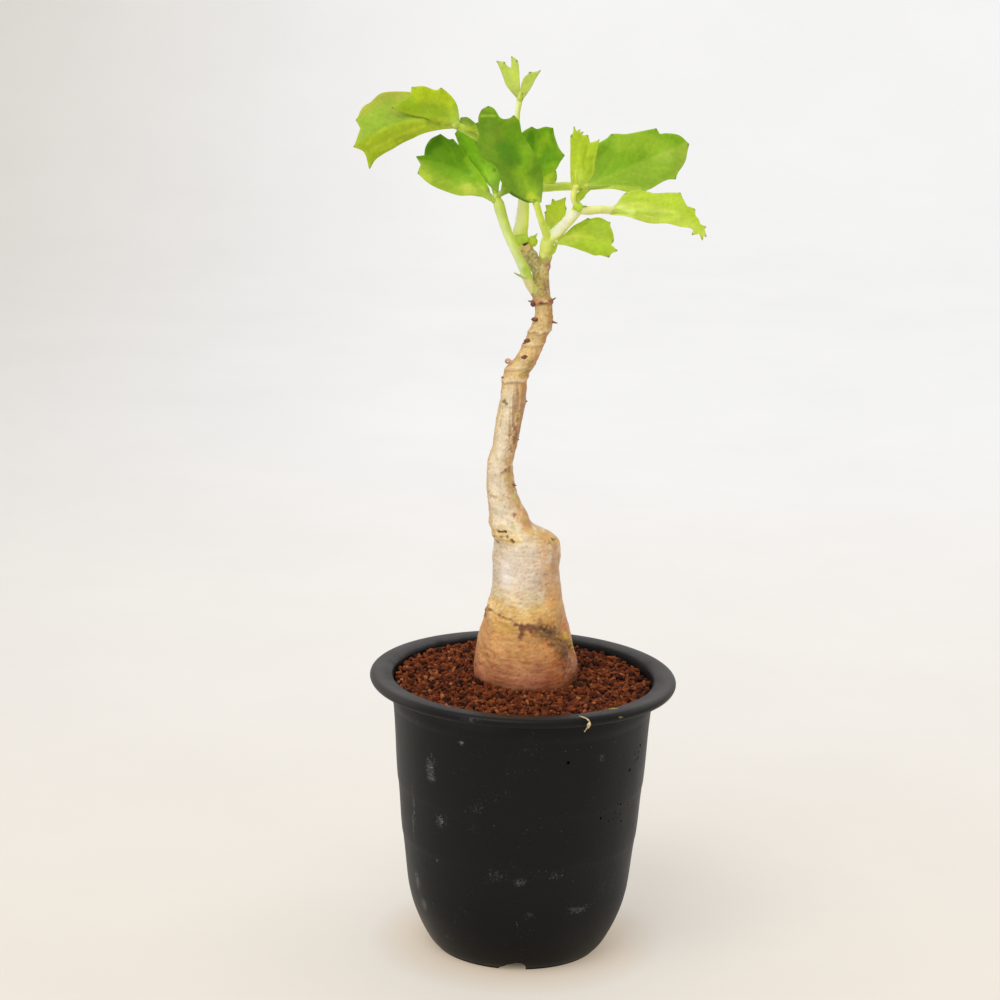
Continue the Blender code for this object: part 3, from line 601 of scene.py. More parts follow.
def triangles(curve):
    """The curve's points with an even grid inside them, and the triangles between them all."""
    low, high = curve.min(axis=0), curve.max(axis=0)
    row_step = BLADE_STEP * math.sqrt(3) / 2
    grid = []
    for row in range(int((high[1] - low[1]) / row_step) + 1):
        for column in range(int((high[0] - low[0]) / BLADE_STEP) + 2):
            grid.append((low[0] + (column + 0.5 * (row % 2)) * BLADE_STEP, low[1] + row * row_step))
    grid = np.array(grid)
    inside, away = within(curve, grid)
    flat = np.vstack([curve, grid[inside & (away > 0.45 * BLADE_STEP)]])
    edges = [(k, (k + 1) % len(curve)) for k in range(len(curve))]
    flat, _, faces, *_ = delaunay_2d_cdt([Vector(p) for p in flat], edges, [], 1, 1e-6)
    return np.array([tuple(p) for p in flat]), [tuple(face) for face in faces]


class Blade:
    """A leaflet's points on its sheet, with its veins, relief and colours."""

    def __init__(self, leaflet):
        self.leaflet = leaflet
        self.curve, self.teeth, self.leftward = outline(leaflet.edge)
        self.flat, self.faces = triangles(self.curve)
        across, up = self.flat[:, 0], self.flat[:, 1]
        self.away = within(self.curve, self.flat)[1]
        self.away[:len(self.curve)] = 0
        self.along = leaflet.along(across, up)
        self.aside = leaflet.aside(across, up)
        self.places = leaflet.sheet(across, up)
        self.normals = leaflet.normals(across, up)
        self.find_veins()

    def wave(self, size, turn):
        return ripple(self.places, size, 17 * self.leaflet.seed + turn)

    def find_veins(self):
        """Side veins leave the midrib at a slant and run towards the tip, with soft quilting between."""
        reach, along, off = self.leaflet.length, self.along, np.abs(self.aside)
        phase = (along - VEIN_SLANT * off) / VEIN_STEP + 0.5 * (self.aside > 0) + 0.14 * self.wave(9, 1)
        off_vein = np.abs(phase - np.round(phase)) * VEIN_STEP / math.hypot(1, VEIN_SLANT)
        veins = bell(off_vein, 0.3) * ease(off, 0.1, 1) * self.leaflet.vein
        veins *= 1 - ease(off, 0.12 * reach, 0.4 * reach)
        veins *= ease(along, 0.02 * reach, 0.12 * reach) * (1 - 0.7 * ease(along, 0.6 * reach, reach))
        taper = 1 - ease(along, 0.05 * reach, 0.9 * reach)
        quilt = (0.5 - 0.5 * np.cos(2 * math.pi * phase)) * self.leaflet.vein
        quilt *= ease(off, 0.2, 2.5) * ease(self.away, 0.2, 2.5) * (1 - ease(off, 0.2 * reach, 0.45 * reach))
        self.veins = veins
        self.quilt = quilt
        self.rib = bell(self.aside, 0.2 + 0.6 * taper) * (0.12 + 0.88 * taper)

    def relief(self):
        """How far the sheet is lifted, and its thickness in front and behind."""
        reach = self.leaflet.length
        lift = 0.12 * self.quilt + 0.05 * self.wave(5, 2) * ease(self.away, 0, 2)
        lift += 0.55 * self.wave(16, 6)
        lift += 0.5 * self.wave(9, 3) * (1 - ease(self.away, 0, 4)) * ease(self.along, 2, 9)
        lift *= ease(reach, 4, 16)
        half = 0.2 + 0.22 * ease(self.away, 0, 1.8)
        ridge = 0.55 * self.rib * ease(reach, 6, 18) + 0.08 * self.veins
        return lift, half + 0.35 * ridge, half + ridge

    def tints(self, colour):
        """Two halves painted lighter and darker as painted light and shade on the crease, paler veins, base
        and rim, the leaflet's own marks (pale ribs and streaks, painted highlights and painted shadows), and
        brown teeth.
        """
        # The halves: one side of the midrib painted lighter, the other darker, as painted light and shade on
        # the crease.
        left, right = self.leaflet.halves
        tint = mix(colour * left, colour * right, ease(self.aside, -0.5, 0.5))
        tint = tint * (1 + 0.06 * self.wave(12, 4) + 0.03 * self.wave(3, 5))[:, None]
        tint = mix(tint, colour * (1.2, 1.1, 1.2), 0.4 * self.quilt * (1 - ease(self.away, 0, 6)))
        pale = np.minimum(colour * (1.6, 1.3, 2.2) + (0.03, 0.03, 0.01), 0.8)
        tint = mix(tint, pale, np.clip(0.6 * self.rib + 0.3 * self.veins, 0, 0.75))
        fade = 0.08 * self.leaflet.length + 0.8
        tint = mix(tint, PALE, 0.7 * np.exp(-np.maximum(self.along, 0) / fade))
        tint = mix(tint, pale, 0.35 * (1 - ease(self.away, 0.05, 0.6)))
        # Each mark: a pale rib, vein or streak, or a painted highlight or painted shadow.
        for line, reach, factor in self.leaflet.marks:
            off = near(self.flat, line) * (1 + 0.2 * self.wave(3, 7))
            tint = dyed(tint, factor, 1 - ease(off, 0.2 * reach, reach))
        off = np.full(len(self.flat), np.inf)
        for tooth in self.teeth:
            off = np.minimum(off, np.hypot(self.flat[:, 0] - tooth[0], self.flat[:, 1] - tooth[1]))
        return mix(tint, TOOTH, 0.85 * (1 - ease(off, 0.1, 0.6)) * ease(self.along, 1.5, 3))


def add_blade(shape, leaflet, colour):
    """Adds a leaflet: a fleshy sheet with a front, a back and a rounded rim."""
    blade = Blade(leaflet)
    lift, front, rear = blade.relief()
    tint = blade.tints(np.array(colour))
    total, count = len(blade.flat), len(blade.curve)
    way = np.roll(blade.curve, -1, axis=0) - np.roll(blade.curve, 1, axis=0)
    way /= np.linalg.norm(way, axis=1)[:, None]
    rim = blade.curve + np.stack([way[:, 1], -way[:, 0]], axis=1) * (RIM if blade.leftward else -RIM)
    points = np.vstack([
        blade.places + blade.normals * (lift + front)[:, None],
        blade.places + blade.normals * (lift - rear)[:, None],
        leaflet.sheet(rim[:, 0], rim[:, 1]) + blade.normals[:count] * lift[:count, None],
    ])
    faces = blade.faces + [tuple(total + k for k in reversed(face)) for face in blade.faces]
    for k in range(count):
        a, b = ((k + 1) % count, k) if blade.leftward else (k, (k + 1) % count)
        faces.append((a, b, 2 * total + b, 2 * total + a))
        faces.append((2 * total + a, 2 * total + b, total + b, total + a))
    shape.add(points, faces, np.vstack([tint, tint * (1.06, 1.02, 1.25), tint[:count]]))


def stipule(shape, root, tip, radius, tint, bow=0.35, slot=0):
    """A small pointed scale that curves up to its tip."""
    root, tip = np.array(root), np.array(tip)
    middle = (root + tip) / 2 + np.array([0, 0, -bow])
    points = [(*root, radius), (*middle, 0.6 * radius), (*tip, 0.14)]
    points, faces, shares = tube(points, 10, 4, round_end=True)
    shape.add(points, faces, mix(*tint, shares), slot)


def side_lit(points, tint, sides):
    """A stem's tint with painted light: lighter on its left flank, which faces the key light, and darker and
    greener on its right, in painted shade.
    """
    offset = points - np.repeat(points.reshape(-1, sides, 3).mean(axis=1), sides, axis=0)
    right = ease(offset[:, 0] / np.linalg.norm(offset, axis=1), -0.6, 1)
    return tint * mix((1.14, 1.07, 1.8), (0.86, 0.86, 0.4), right)


def petiole(shape, points, start, end, seed):
    """A leaf's stalk, greener in the fork and straw-coloured where it leaves the stem."""
    points, faces, shares = tube(points, 16, 8, round_end=True, rough=0.035, seed=seed)
    # Painted light and shade: lighter on the left flank, darker on the right.
    tint = side_lit(points, mix(start, end, shares), 16)
    fork = near(points * (1, 0, 1), [(-2.4, 0, 238.2), (-1.2, 0, 236.4)])
    tint = mix(tint, (0.44, 0.64, 0.03), 0.85 * (1 - ease(fork, 0.8, 2.6)))
    tint = mix(tint, (0.76, 0.7, 0.3), 0.9 * (1 - ease(points[:, 2], 233.6, 236.4)))
    shape.add(points, faces, tint * (1 + 0.06 * ripple(points, 6, seed))[:, None], 1)


def midrib(shape, leaflet, radius, colour):
    """The petiole's run into the blade, as a tapering rib."""
    stations = leaflet.rib()
    parts = np.linspace(0.95, 0.1, len(stations))
    points, faces, shares = tube([(*place, radius * part) for place, part in zip(stations, parts)], 12, 3)
    shape.add(points, faces, mix(PALE, np.array(colour) * (1.5, 1.25, 1.5), shares))


# Leaf: the blade's colour, the petiole's colours at its ends, the petiole's points and radii
PETIOLES = {
    "leaf_low_left": ((0.22, 0.48, 0.01), (GLAUCOUS, LIME), [
        (-0.1, 2.8, 230.2, 1.2), (-1.6, 1.7, 233.8, 1.65), (-3, -0.2, 238, 1.75), (-5.9, -3, 244.2, 1.5),
        (-8.6, -5, 250.4, 1.6), (-10.8, -6, 256.5, 1.75), (-12.1, -6.8, 261, 1.85), (-13.2, -7.2, 264, 1.1),
    ]),
    "leaf_upper_left": ((0.4, 0.58, 0.015), (LIME, LIME), [
        (-5.5, 6.2, 276, 1), (-8.7, 4, 277.9, 1.2), (-13.9, 0, 280.4, 1.3), (-19.5, -6, 283.2, 1.3),
        (-23.4, -9, 285.9, 1.3), (-27.2, -11.1, 287.8, 1.2),
    ]),
    "leaf_far_right": ((0.3, 0.54, 0.018), (LIME, LIME), [
        (-4.2, 6, 264.6, 1.2), (1.7, 9, 264.2, 1.4), (10.1, 12, 264.5, 1.45), (16.8, 14.1, 264, 1.2),
    ]),
    "leaf_front": ((0.195, 0.405, 0.012), ((0.76, 0.93, 0.13), (0.72, 0.9, 0.12)), [
        (4.8, 2.8, 245.8, 1.1), (4.3, 1, 248.6, 1.35), (3.5, -1.8, 251.4, 1.3), (1.9, -6, 256.2, 1.15),
        (0.1, -11.1, 262.6, 1.1),
    ]),
    "leaf_upright": ((0.64, 0.84, 0.045), ((0.84, 0.98, 0.18), (0.8, 0.97, 0.14)), [
        (13.7, -2.5, 260.2, 1.1), (12.4, -4, 263.7, 1), (13.1, -5.1, 267.6, 1.1),
    ]),
    "leaf_right": ((0.58, 0.76, 0.055), ((0.86, 0.9, 0.36), (0.84, 0.9, 0.3)), [
        (13.8, -2.4, 259.6, 1.6), (17.4, -1.4, 258.9, 1.5), (21.5, 0.8, 258.9, 1.4), (25.8, 3.1, 258.3, 1.3),
    ]),
    "leaf_low_right": ((0.48, 0.66, 0.035), (LIME, LIME), [
        (4.8, 1.6, 247.6, 1), (7.4, -1.1, 248.1, 0.8),
    ]),
    "leaf_small": ((0.7, 0.84, 0.06), (LIME, LIME), [
        (5, 1.6, 248.6, 1), (4.7, 4.3, 251.8, 0.8),
    ]),
    "leaf_tip": ((0.76, 0.9, 0.18), (LIME, LIME), [
        (-6.2, 5, 293.2, 0.8), (-6.1, 5, 294.8, 1.1), (-5.9, 4.9, 296.4, 0.7),
    ]),
}
# Each leaflet: its leaf, base, tip across and up from the base, slope in depth, and seed.
# An edge is across and up from the base. A mark is a line of such points, its reach, and the
# factor on the colour along it: some are pale ribs, veins and streaks, others are painted highlights
# along creases and painted shadows where leaflets overlap. The halves' factors paint the two sides
# of the midrib lighter and darker, as painted light and shade on the crease.
LEAFLETS = [
    Leaflet(
        "leaf_low_left", (-14.1, -7.5, 263), (-24.4, 12.4), (0.25, 0.5), 1, cup=0.03, sway=2.8, fold=-0.35,
        halves=((1.35, 1.14, 2.2), (0.96, 0.98, 0.8)),
        marks=[
            ([(-8, 12.5), (-3, 5)], 3.2, (1.7, 1.4, 1.6)), ([(-9.3, 3.6), (-2.3, 0.6)], 3, (1.5, 1.2, 2)),
            ([(-24.2, 9.4), (-20, 5.6), (-9, 1.4)], 4.6, (1.55, 1.18, 2.2)),
            ([(-18.6, 18.4), (-21.4, 15.6)], 2.4, (0.62, 0.72, 0.7)),
            ([(-21, 6), (-23.6, 8.6)], 1.6, (1.3, 1.15, 1.6)),
        ],
        edge=[
            (-1.4, 3), (-3.4, 6.4), (-7.8, 12), (-11.2, 16.2), (-13.6, 18.6), (-15.2, 18.6), (-17.8, 20.2),
            (-20.6, 19), (-22, 17), (-22.6, 13.8), (-25.4, 13.4), (-23.8, 11), (-24.8, 8.4), (-21.8, 5.8),
            (-18.4, 4.2), (-11.4, 1.6), (-3.8, 0.8), (-0.6, -0.6),
        ],
    ),
    Leaflet(
        "leaf_low_left", (-13, -7, 264), (-13.6, 19.6), (-0.2, 0.5), 2, cup=0.02, sway=1.2, vein=0.6,
        marks=[
            ([(-9, 16), (-5.7, 10.7), (-2.3, 7)], 5, (1.55, 1.38, 1.6)),
            ([(-2.3, 7.8), (0, 4.5)], 2.6, (1.15, 1.1, 1.2)),
            ([(-1, 7.8), (-0.7, 7.5)], 0.9, (0.5, 0.6, 0.5)),
        ],
        edge=[
            (-0.8, 1.8), (-4.6, 5.2), (-9.8, 11), (-12.4, 14.6), (-14.2, 18.4), (-13.2, 19.8),
            (-10.6, 20.4), (-6.4, 19), (-3, 16), (-0.4, 12), (1.2, 9), (1.4, 6.6), (0.7, 3), (0.6, 1),
        ],
    ),
    Leaflet(
        "leaf_low_left", (-12.2, -7, 264.3), (19.4, 18), (0.12, 0.2), 3, cup=-0.02, vein=1.3,
        marks=[
            ([(14.7, 18.6), (12, 14)], 3.4, (1.55, 1.26, 1.6)),
            ([(15.6, 18), (19.4, 13.6)], 2.2, (1.25, 1.12, 1.4)),
            ([(9.8, 20), (10.6, 15)], 1.6, (0.7, 0.8, 0.6)), ([(18, 9.6), (14, 7)], 2.2, (1.5, 1.25, 1.6)),
        ],
        edge=[
            (1, 3.8), (2.8, 9.4), (4.8, 16.4), (7.2, 20.4), (10.2, 22.2), (12, 21.4), (14.6, 22),
            (17.2, 21.6), (17.8, 19.2), (19.4, 15.2), (21.2, 13), (19.6, 10.6), (18.4, 8.4), (14.6, 6.4),
            (9.2, 2.6), (2.8, 0.6), (0.6, -0.4),
        ],
    ),
    Leaflet(
        "leaf_upper_left", (-27, -11, 287.6), (-32.6, -6), (0.2, 0.7), 4, cup=0.01, sway=3.8, fold=0.45,
        vein=0.5, halves=((1.2, 1.05, 1.7), (1.06, 1.04, 3.2)),
        marks=[
            ([(-28.3, -5.2), (-26.4, -2.9), (-22.9, -0.9)], 0.8, (1.3, 1.2, 1.6)),
            ([(-28, -4.2), (-25.6, -2), (-22.6, 0.2)], 1.2, (0.84, 0.91, 0.7)),
            ([(-27, -7.4), (-19.3, -3.4), (-10, -0.4)], 0.9, (1.2, 1.12, 1.6)),
            ([(-24, -7.6), (-16, -4)], 0.8, (1.2, 1.12, 1.4)),
            ([(-9, 1.2), (-5, 0.9)], 1.4, (0.58, 0.66, 0.6)),
            ([(-31, 3.8), (-24.4, 8.4), (-15, 9.2)], 3.4, (1.2, 0.96, 1.3)),
            ([(-21, 4.4), (-12, 3.6)], 2.2, (1.15, 1, 1.5)),
        ],
        edge=[
            (-1, 1), (-5, 2.6), (-8.4, 6.6), (-15, 9.2), (-19.6, 9.6), (-24.4, 8.4), (-28.6, 6), (-31, 3.8),
            (-32, 0.8), (-30.4, -1.2), (-32.4, -5.8), (-29, -7.8), (-27.2, -13.2), (-25.2, -10),
            (-19.8, -7), (-14, -4.2), (-10.2, -2.4), (-4.8, -1.2), (-0.6, -0.8),
        ],
    ),
    Leaflet(
        "leaf_upper_left", (-26.7, -11, 288.1), (-20.8, 5.4), (0.25, 0.3), 5, cup=0.02, fold=0.1, vein=0.5,
        marks=[
            ([(-12, 9.6), (-3.4, 7.6)], 4, (1.4, 1.2, 0.8)), ([(-2, 6), (-1, 1)], 1.8, (1.2, 1.15, 0.9)),
        ],
        edge=[
            (1.2, 0.6), (0.2, 5.6), (-2.2, 8.6), (-5.4, 10.6), (-6.8, 10), (-10.8, 11.2), (-14.6, 11.4),
            (-14.8, 9), (-20.8, 5.4), (-14.6, 3.2), (-9.6, 2), (-7.6, 1), (-3.2, -0.2),
        ],
    ),
    Leaflet(
        "leaf_upper_left", (-24.4, -9.5, 286.9), (5.4, -0.6), (-0.3, 0.9), 6,
        marks=[([(-0.8, 2.6), (3, 2)], 2.6, (0.5, 0.58, 0.4))],
        edge=[(-1, 1.4), (-0.8, 2.6), (1.2, 2.8), (2.8, 2), (5, 0.4), (5.4, -0.6), (4.4, -1), (-1, -0.6)],
    ),
    Leaflet(
        "leaf_far_right", (16.5, 14, 263.9), (34.6, 13.8), (0.12, 0.6), 7, cup=-0.015, droop=0.003,
        vein=0.8, halves=((0.98, 0.99, 1), (1.25, 1.08, 2.2)),
        spine=[(-2.4, -0.1), (2, 0), (7, 0.4), (12, 1), (17, 2)],
        marks=[
            ([(-3.4, 0.1), (11.8, -0.2), (18, -0.6)], 1.3, (1.6, 1.3, 2.2)),
            ([(12, 13.6), (18.3, 14.4), (27, 11)], 5, (1.4, 1.2, 2)),
            ([(1, 9), (6, 12)], 2.4, (0.85, 0.92, 0.7)), ([(33.4, 12), (32, 5)], 2, (1.15, 1, 1.5)),
        ],
        edge=[
            (-1.8, 2), (0.4, 9.4), (3.6, 13.2), (7.4, 15.4), (8.8, 16.6), (13.8, 16.4), (23.8, 18),
            (25, 16.2), (27.4, 16.2), (31.6, 15.2), (35, 12.8), (33.8, 8), (31, 4), (30.4, 2.4),
            (27.6, 2.2), (21.6, -0.4), (17.8, -1.2), (13.2, -1), (8.4, -0.4), (0.4, -0.6),
        ],
    ),
    Leaflet(
        "leaf_far_right", (3.7, 9.6, 264.4), (0.4, 6.8), (0, 0.3), 8,
        marks=[([(-1, 1), (1, 6)], 5, (1.7, 1.3, 2))],
        edge=[(-1, 1.2), (-2, 3.8), (-0.8, 6.4), (1.2, 7), (2.8, 5.2), (3, 2.4), (0.9, -0.3), (-0.7, -0.3)],
    ),
    Leaflet(
        "leaf_front", (0.1, -11, 262.4), (-16.2, 34.4), (0.15, -0.45), 9, cup=0.03, droop=0.006, fold=-0.12,
        vein=0.7, halves=((1.2, 1.14, 1.8), (1.1, 1.12, 0.9)), spine=[(-0.2, 0.2), (-0.8, 2)],
        marks=[
            ([(-8.6, 16.4), (-10.4, 19.6)], 4.6, (0.62, 0.84, 0.6)),
            ([(-4.4, 20), (-3, 14)], 3.2, (1.5, 1.35, 1.7)), ([(-5.6, 11), (-1.6, 4)], 4, (1.45, 1.35, 1)),
            ([(-2, 2.6), (-0.1, 0.3)], 2.6, (1.5, 1.25, 1.2)),
            ([(-18.1, 30.4), (-14, 30.5)], 0.55, (2.2, 1.6, 3)),
            ([(-16.4, 32.6), (-15, 31.8)], 1.4, (1.3, 1.15, 0.8)),
            ([(-12.7, 26.1), (-9.9, 28.2), (-8, 29.5)], 1.4, (1.3, 1.08, 1.5)),
            ([(-8.4, 4), (-5.3, 1.8), (-1.9, 0.2)], 0.8, (0.35, 0.5, 0.5)),
            ([(-17, 18), (-15.4, 24)], 2.4, (1.2, 1.08, 1.3)),
            ([(-12.3, 22.1), (-14.6, 27)], 1.6, (1.05, 0.92, 1.1)),
        ],
        edge=[
            (-2.6, 0.4), (-5, 1.4), (-8.6, 3.8), (-11.4, 7.6), (-13.6, 13), (-16.6, 15.2), (-18.4, 17.4),
            (-20.2, 20.8), (-19, 23.2), (-20, 27.6), (-19.1, 28.2), (-19, 30.2), (-18.2, 32.2),
            (-16.4, 33.3), (-14.6, 32.7), (-13.4, 31.2), (-12.6, 30), (-11.2, 29.3), (-9.4, 29.5),
            (-8.2, 30.4), (-6.6, 28.6), (-5.6, 24.8), (-3.2, 20.8), (-0.4, 16.2), (1.6, 11.8), (2, 7.4),
            (1.6, 0.6),
        ],
    ),
    Leaflet(
        "leaf_upright", (13.1, -5, 267.3), (-1.2, 20), (0.3, -0.15), 10, cup=0.06, fold=-0.2,
        marks=[
            ([(-0.4, -0.6), (1, 5)], 2.4, (1.1, 1.08, 1.5)),
            ([(0.4, 1), (3.6, 12.6)], 0.5, (1.12, 1.1, 1.5)), ([(0.6, 1), (5, 8.6)], 0.5, (1.1, 1.08, 1.4)),
            ([(0, 2), (0.6, 15.6)], 0.5, (1.12, 1.1, 1.5)),
            ([(2.2, 6), (2.4, 13.6)], 0.8, (0.82, 0.86, 0.7)),
            ([(4.6, 10), (4.2, 5)], 1, (0.85, 0.88, 0.7)),
        ],
        edge=[
            (-1, -1), (-1.6, 2.8), (-1.8, 8.6), (-2, 13.8), (-2.2, 17.4), (-1.5, 18.4), (-1.4, 20.6),
            (-0.7, 19), (0.6, 19.6), (0.2, 18.4), (1.6, 18.8), (1, 17.4), (3, 17.6), (3.6, 15), (6.9, 15.6),
            (5.8, 13.2), (6, 9.8), (5.8, 5.8), (4.8, 2.4), (2, 0), (0.8, -1.2),
        ],
    ),
    Leaflet(
        "leaf_right", (25.4, 3, 258.6), (31.6, -7), (0.15, 0.9), 11, cup=0.04, droop=-0.004, sway=-4,
        fold=-0.15, vein=0.6, halves=((1, 0.98, 0.9), (1.12, 1.04, 1.8)),
        spine=[(-2, -0.2), (2, -0.6), (7, -1.6), (13, -2.2), (19, -2.9)],
        marks=[
            ([(0, 0), (6, -1.4)], 2.6, (1.25, 1.25, 1.9)),
            ([(2, 0.4), (8, 1.6), (16, 2)], 0.7, (1.08, 1.06, 1.4)),
            ([(4, -0.8), (12.7, 0), (22, -0.8)], 0.7, (1.08, 1.06, 1.4)),
            ([(3, 1.8), (9, 4.2)], 0.7, (1.08, 1.06, 1.3)), ([(4, 2.8), (12, 2.8)], 0.8, (0.88, 0.92, 0.8)),
            ([(8, -0.9), (20, -1.8)], 0.8, (0.9, 0.94, 0.8)),
        ],
        edge=[
            (-0.6, 0.6), (1.4, 1.4), (4.6, 4.6), (10, 5.6), (14.8, 4.8), (22.8, 5), (23.8, 2.8), (25, 0.8),
            (27.6, 0.4), (27.7, -1.2), (28.7, -2.4), (29.3, -4), (31.2, -4.6), (30.6, -5.3), (31.3, -7.2),
            (30.4, -6.8), (30, -7.9), (29, -6.4), (26.6, -6.8), (27.2, -5.6), (25.4, -4.8), (18.4, -4),
            (11, -3.6), (5, -2), (-0.6, -1.2),
        ],
    ),
    Leaflet(
        "leaf_low_right", (7.1, -1, 248), (20.2, -1), (-0.35, 0.6), 12, cup=0.03, sway=-2.8, vein=0.6,
        marks=[([(0, 0), (6, 1.6)], 3, (1.1, 1.07, 1.4)), ([(8, 2), (15, 1)], 3.4, (1.12, 1.08, 1.2))],
        edge=[
            (-0.4, 0.6), (2.6, 2.4), (6.4, 5.4), (10.6, 7.4), (11.4, 7.2), (14.6, 8.2), (17.6, 7.6),
            (17.6, 6.4), (18.6, 4), (18.8, 1.8), (18, 0.6), (20.2, -1), (18.4, -1.8), (17.4, -3.2),
            (14.8, -2.8), (12.8, -3), (9.2, -2), (3.6, -0.8), (-0.4, -0.6),
        ],
    ),
    Leaflet(
        "leaf_small", (4.7, 4.5, 251.6), (3.4, 9), (0, 0.6), 13, cup=0.04,
        edge=[
            (-0.7, 0), (-1.2, 2.6), (-1.4, 4.6), (-0.8, 5), (-1.1, 6.6), (0.6, 7), (1, 8.8), (2, 8.2),
            (3.2, 8.6), (5.4, 9.4), (5.2, 7.4), (5.7, 6), (5, 3.6), (3, 1.8), (0.8, -0.2),
        ],
    ),
    Leaflet(
        "leaf_tip", (-6.3, 5, 294.7), (-6.2, 12.4), (0.3, -0.1), 14, cup=-0.05,
        edge=[
            (-0.8, 0.2), (-4.2, 4.4), (-5.4, 7.2), (-7.8, 12.6), (-5.2, 12.2), (-4.6, 11.2), (-3.2, 10.2),
            (-2.8, 10.8), (-2.8, 14.15), (-1, 12.6), (-0.4, 9.8), (-0.1, 6), (0.3, 0.4),
        ],
    ),
    Leaflet(
        "leaf_tip", (-5.5, 5, 294.4), (6, 9.4), (0.3, 0), 15, cup=-0.05,
        edge=[
            (-0.7, 1), (-0.1, 5.2), (0.8, 7.4), (1.6, 8), (2.4, 9), (3.8, 8.8), (6, 9.4), (4.2, 6.2),
            (3, 3.8), (0.9, 0.6),
        ],
    ),
]
STIPULE = Leaflet(
    "leaf_upright", (13.2, -4, 263), (4.6, 3), (0.2, 0.2), 16,
    edge=[
        (-0.6, -0.6), (-0.3, 1.4), (0.9, 2.2), (1.6, 3.4), (2.6, 2.8), (4.6, 3), (3.2, 1.6), (2.6, 0.6),
        (1, -0.8),
    ],
)
SHOOT_STIPULE = Leaflet(
    "shoot_right", (4.3, 1.4, 243.6), (3.2, 2.6), (0.2, 0.1), 17,
    edge=[(-0.6, -0.6), (-0.4, 1), (0.8, 2.2), (2, 2.2), (3.4, 3.2), (3, 1.6), (2.4, 0.2), (1, -0.8)],
)
SLOTS = {"leaf_low_left": "grown_leaf", "leaf_far_right": "grown_leaf", "leaf_front": "front_leaf"}


def leaves():
    surfaces = {slot: foliage(slot) for slot in ("young_leaf", "grown_leaf", "front_leaf")}
    green = stalk("petiole")
    for name, (colour, ends, path) in PETIOLES.items():
        shape = Shape()
        petiole(shape, path, *ends, seed=len(name))
        for leaflet in [found for found in LEAFLETS if found.leaf == name]:
            add_blade(shape, leaflet, colour)
            if leaflet.length > MIDRIB_LENGTH:
                midrib(shape, leaflet, path[-1][3], colour)
        if name == "leaf_low_left":
            stipule(shape, (-2.2, -0.4, 235.8), (-6.5, 0.2, 237), 0.8, (LIME, (0.24, 0.32, 0.06)), slot=1)
        if name == "leaf_upright":
            add_blade(shape, STIPULE, YOUNG)
        slot = SLOTS.get(name, "young_leaf")
        own(shape.build(name + "_fine", surfaces[slot], green), name)


# Shoots


def shoot_middle(green):
    shape = Shape()
    points, faces, _ = tube(SHOOT_MIDDLE, 24, 10, rough=0.03, seed=5)
    tint = mix((0.72, 0.86, 0.15), (0.88, 1, 0.28), ease(points[:, 2], 249, 254))
    # Painted light and shade: lighter on the left flank, darker on the right.
    shape.add(points, faces, side_lit(points, tint, 24))
    shape.add(*blob((-4.6, 4.1, 247.5), (2.8, 1.9, 2.4), seed=2, rough=0.05), (0.54, 0.74, 0.06))
    shape.add(*blob((-0.6, 4.2, 247), (1.7, 1.5, 1.9), seed=3, rough=0.06), (0.56, 0.7, 0.05))
    stipule(shape, (-0.2, 4.4, 248.2), (0.9, 4, 249.8), 0.7, (LIME, LIME), 0)
    own(shape.build("shoot_middle_fine", green), "shoot_middle")


def shoot_right(green):
    shape = Shape()
    points, faces, _ = tube(SHOOT_RIGHT, 24, 10, rough=0.03, seed=6)
    height = points[:, 2]
    pale = ease(height, 248, 251) * (1 - ease(height, 258, 260))
    # Painted light and shade: lighter on the left flank, darker on the right.
    tint = side_lit(points, mix((0.71, 0.84, 0.13), PALE_SHOOT, pale), 24)
    tint = mix(tint, (0.5, 0.46, 0.14), 1 - ease(height + 0.6 * ripple(points, 2, 51), 241.4, 243))
    scorch = near(points, [(5.4, 2, 240), (5.6, 1.4, 238.6)])
    tint = mix(tint, (0.52, 0.24, 0.07), 0.8 * (1 - ease(scorch, 0.4, 1.6)))
    shape.add(points, faces, tint)
    shape.add(*blob((13.9, -3, 260.2), (1.7, 1.6, 1.8), seed=4, rough=0.06), (0.5, 0.74, 0.03))
    add_blade(shape, SHOOT_STIPULE, YOUNG)
    stipule(shape, (15, -2.8, 260.4), (16.9, -3.2, 260.6), 0.5, (LIME, (0.14, 0.16, 0.03)), 0)
    own(shape.build("shoot_right_fine", green), "shoot_right")


def shoots():
    green = stalk("green_shoot")
    shoot_middle(green)
    shoot_right(green)


# Caudex and woody stem

TRUNK_STEP = 0.37
TRUNK_SIDES = 150
# Height and colour of the bark
BARK_ZONES = [
    (74, 0.16, 0.06, 0.04), (94, 0.26, 0.095, 0.055), (97, 0.52, 0.19, 0.09), (101, 0.56, 0.225, 0.09),
    (106, 0.68, 0.33, 0.11), (113, 0.71, 0.36, 0.11), (118, 0.81, 0.47, 0.15), (121.5, 0.86, 0.59, 0.25),
    (125, 0.87, 0.68, 0.4), (131, 0.82, 0.67, 0.5), (143, 0.81, 0.66, 0.48), (147, 0.8, 0.64, 0.38),
    (152, 0.82, 0.68, 0.46), (160, 0.8, 0.65, 0.44), (178, 0.8, 0.65, 0.42), (195, 0.75, 0.6, 0.35),
    (202, 0.72, 0.5, 0.22), (213, 0.7, 0.5, 0.21), (224, 0.62, 0.45, 0.18), (227.5, 0.6, 0.43, 0.17),
    (231, 0.5, 0.39, 0.095), (237, 0.45, 0.35, 0.09), (241, 0.48, 0.28, 0.11), (250, 0.35, 0.22, 0.1),
]
# Height and strength of each ring scar
RINGS = [
    (146.8, 0.35), (168.9, 0.12), (192.8, 0.15), (200.6, 0.35), (204.6, 0.25), (212.7, 0.25), (217, 0.3),
    (226.9, 0.55), (238.5, 0.3),
]
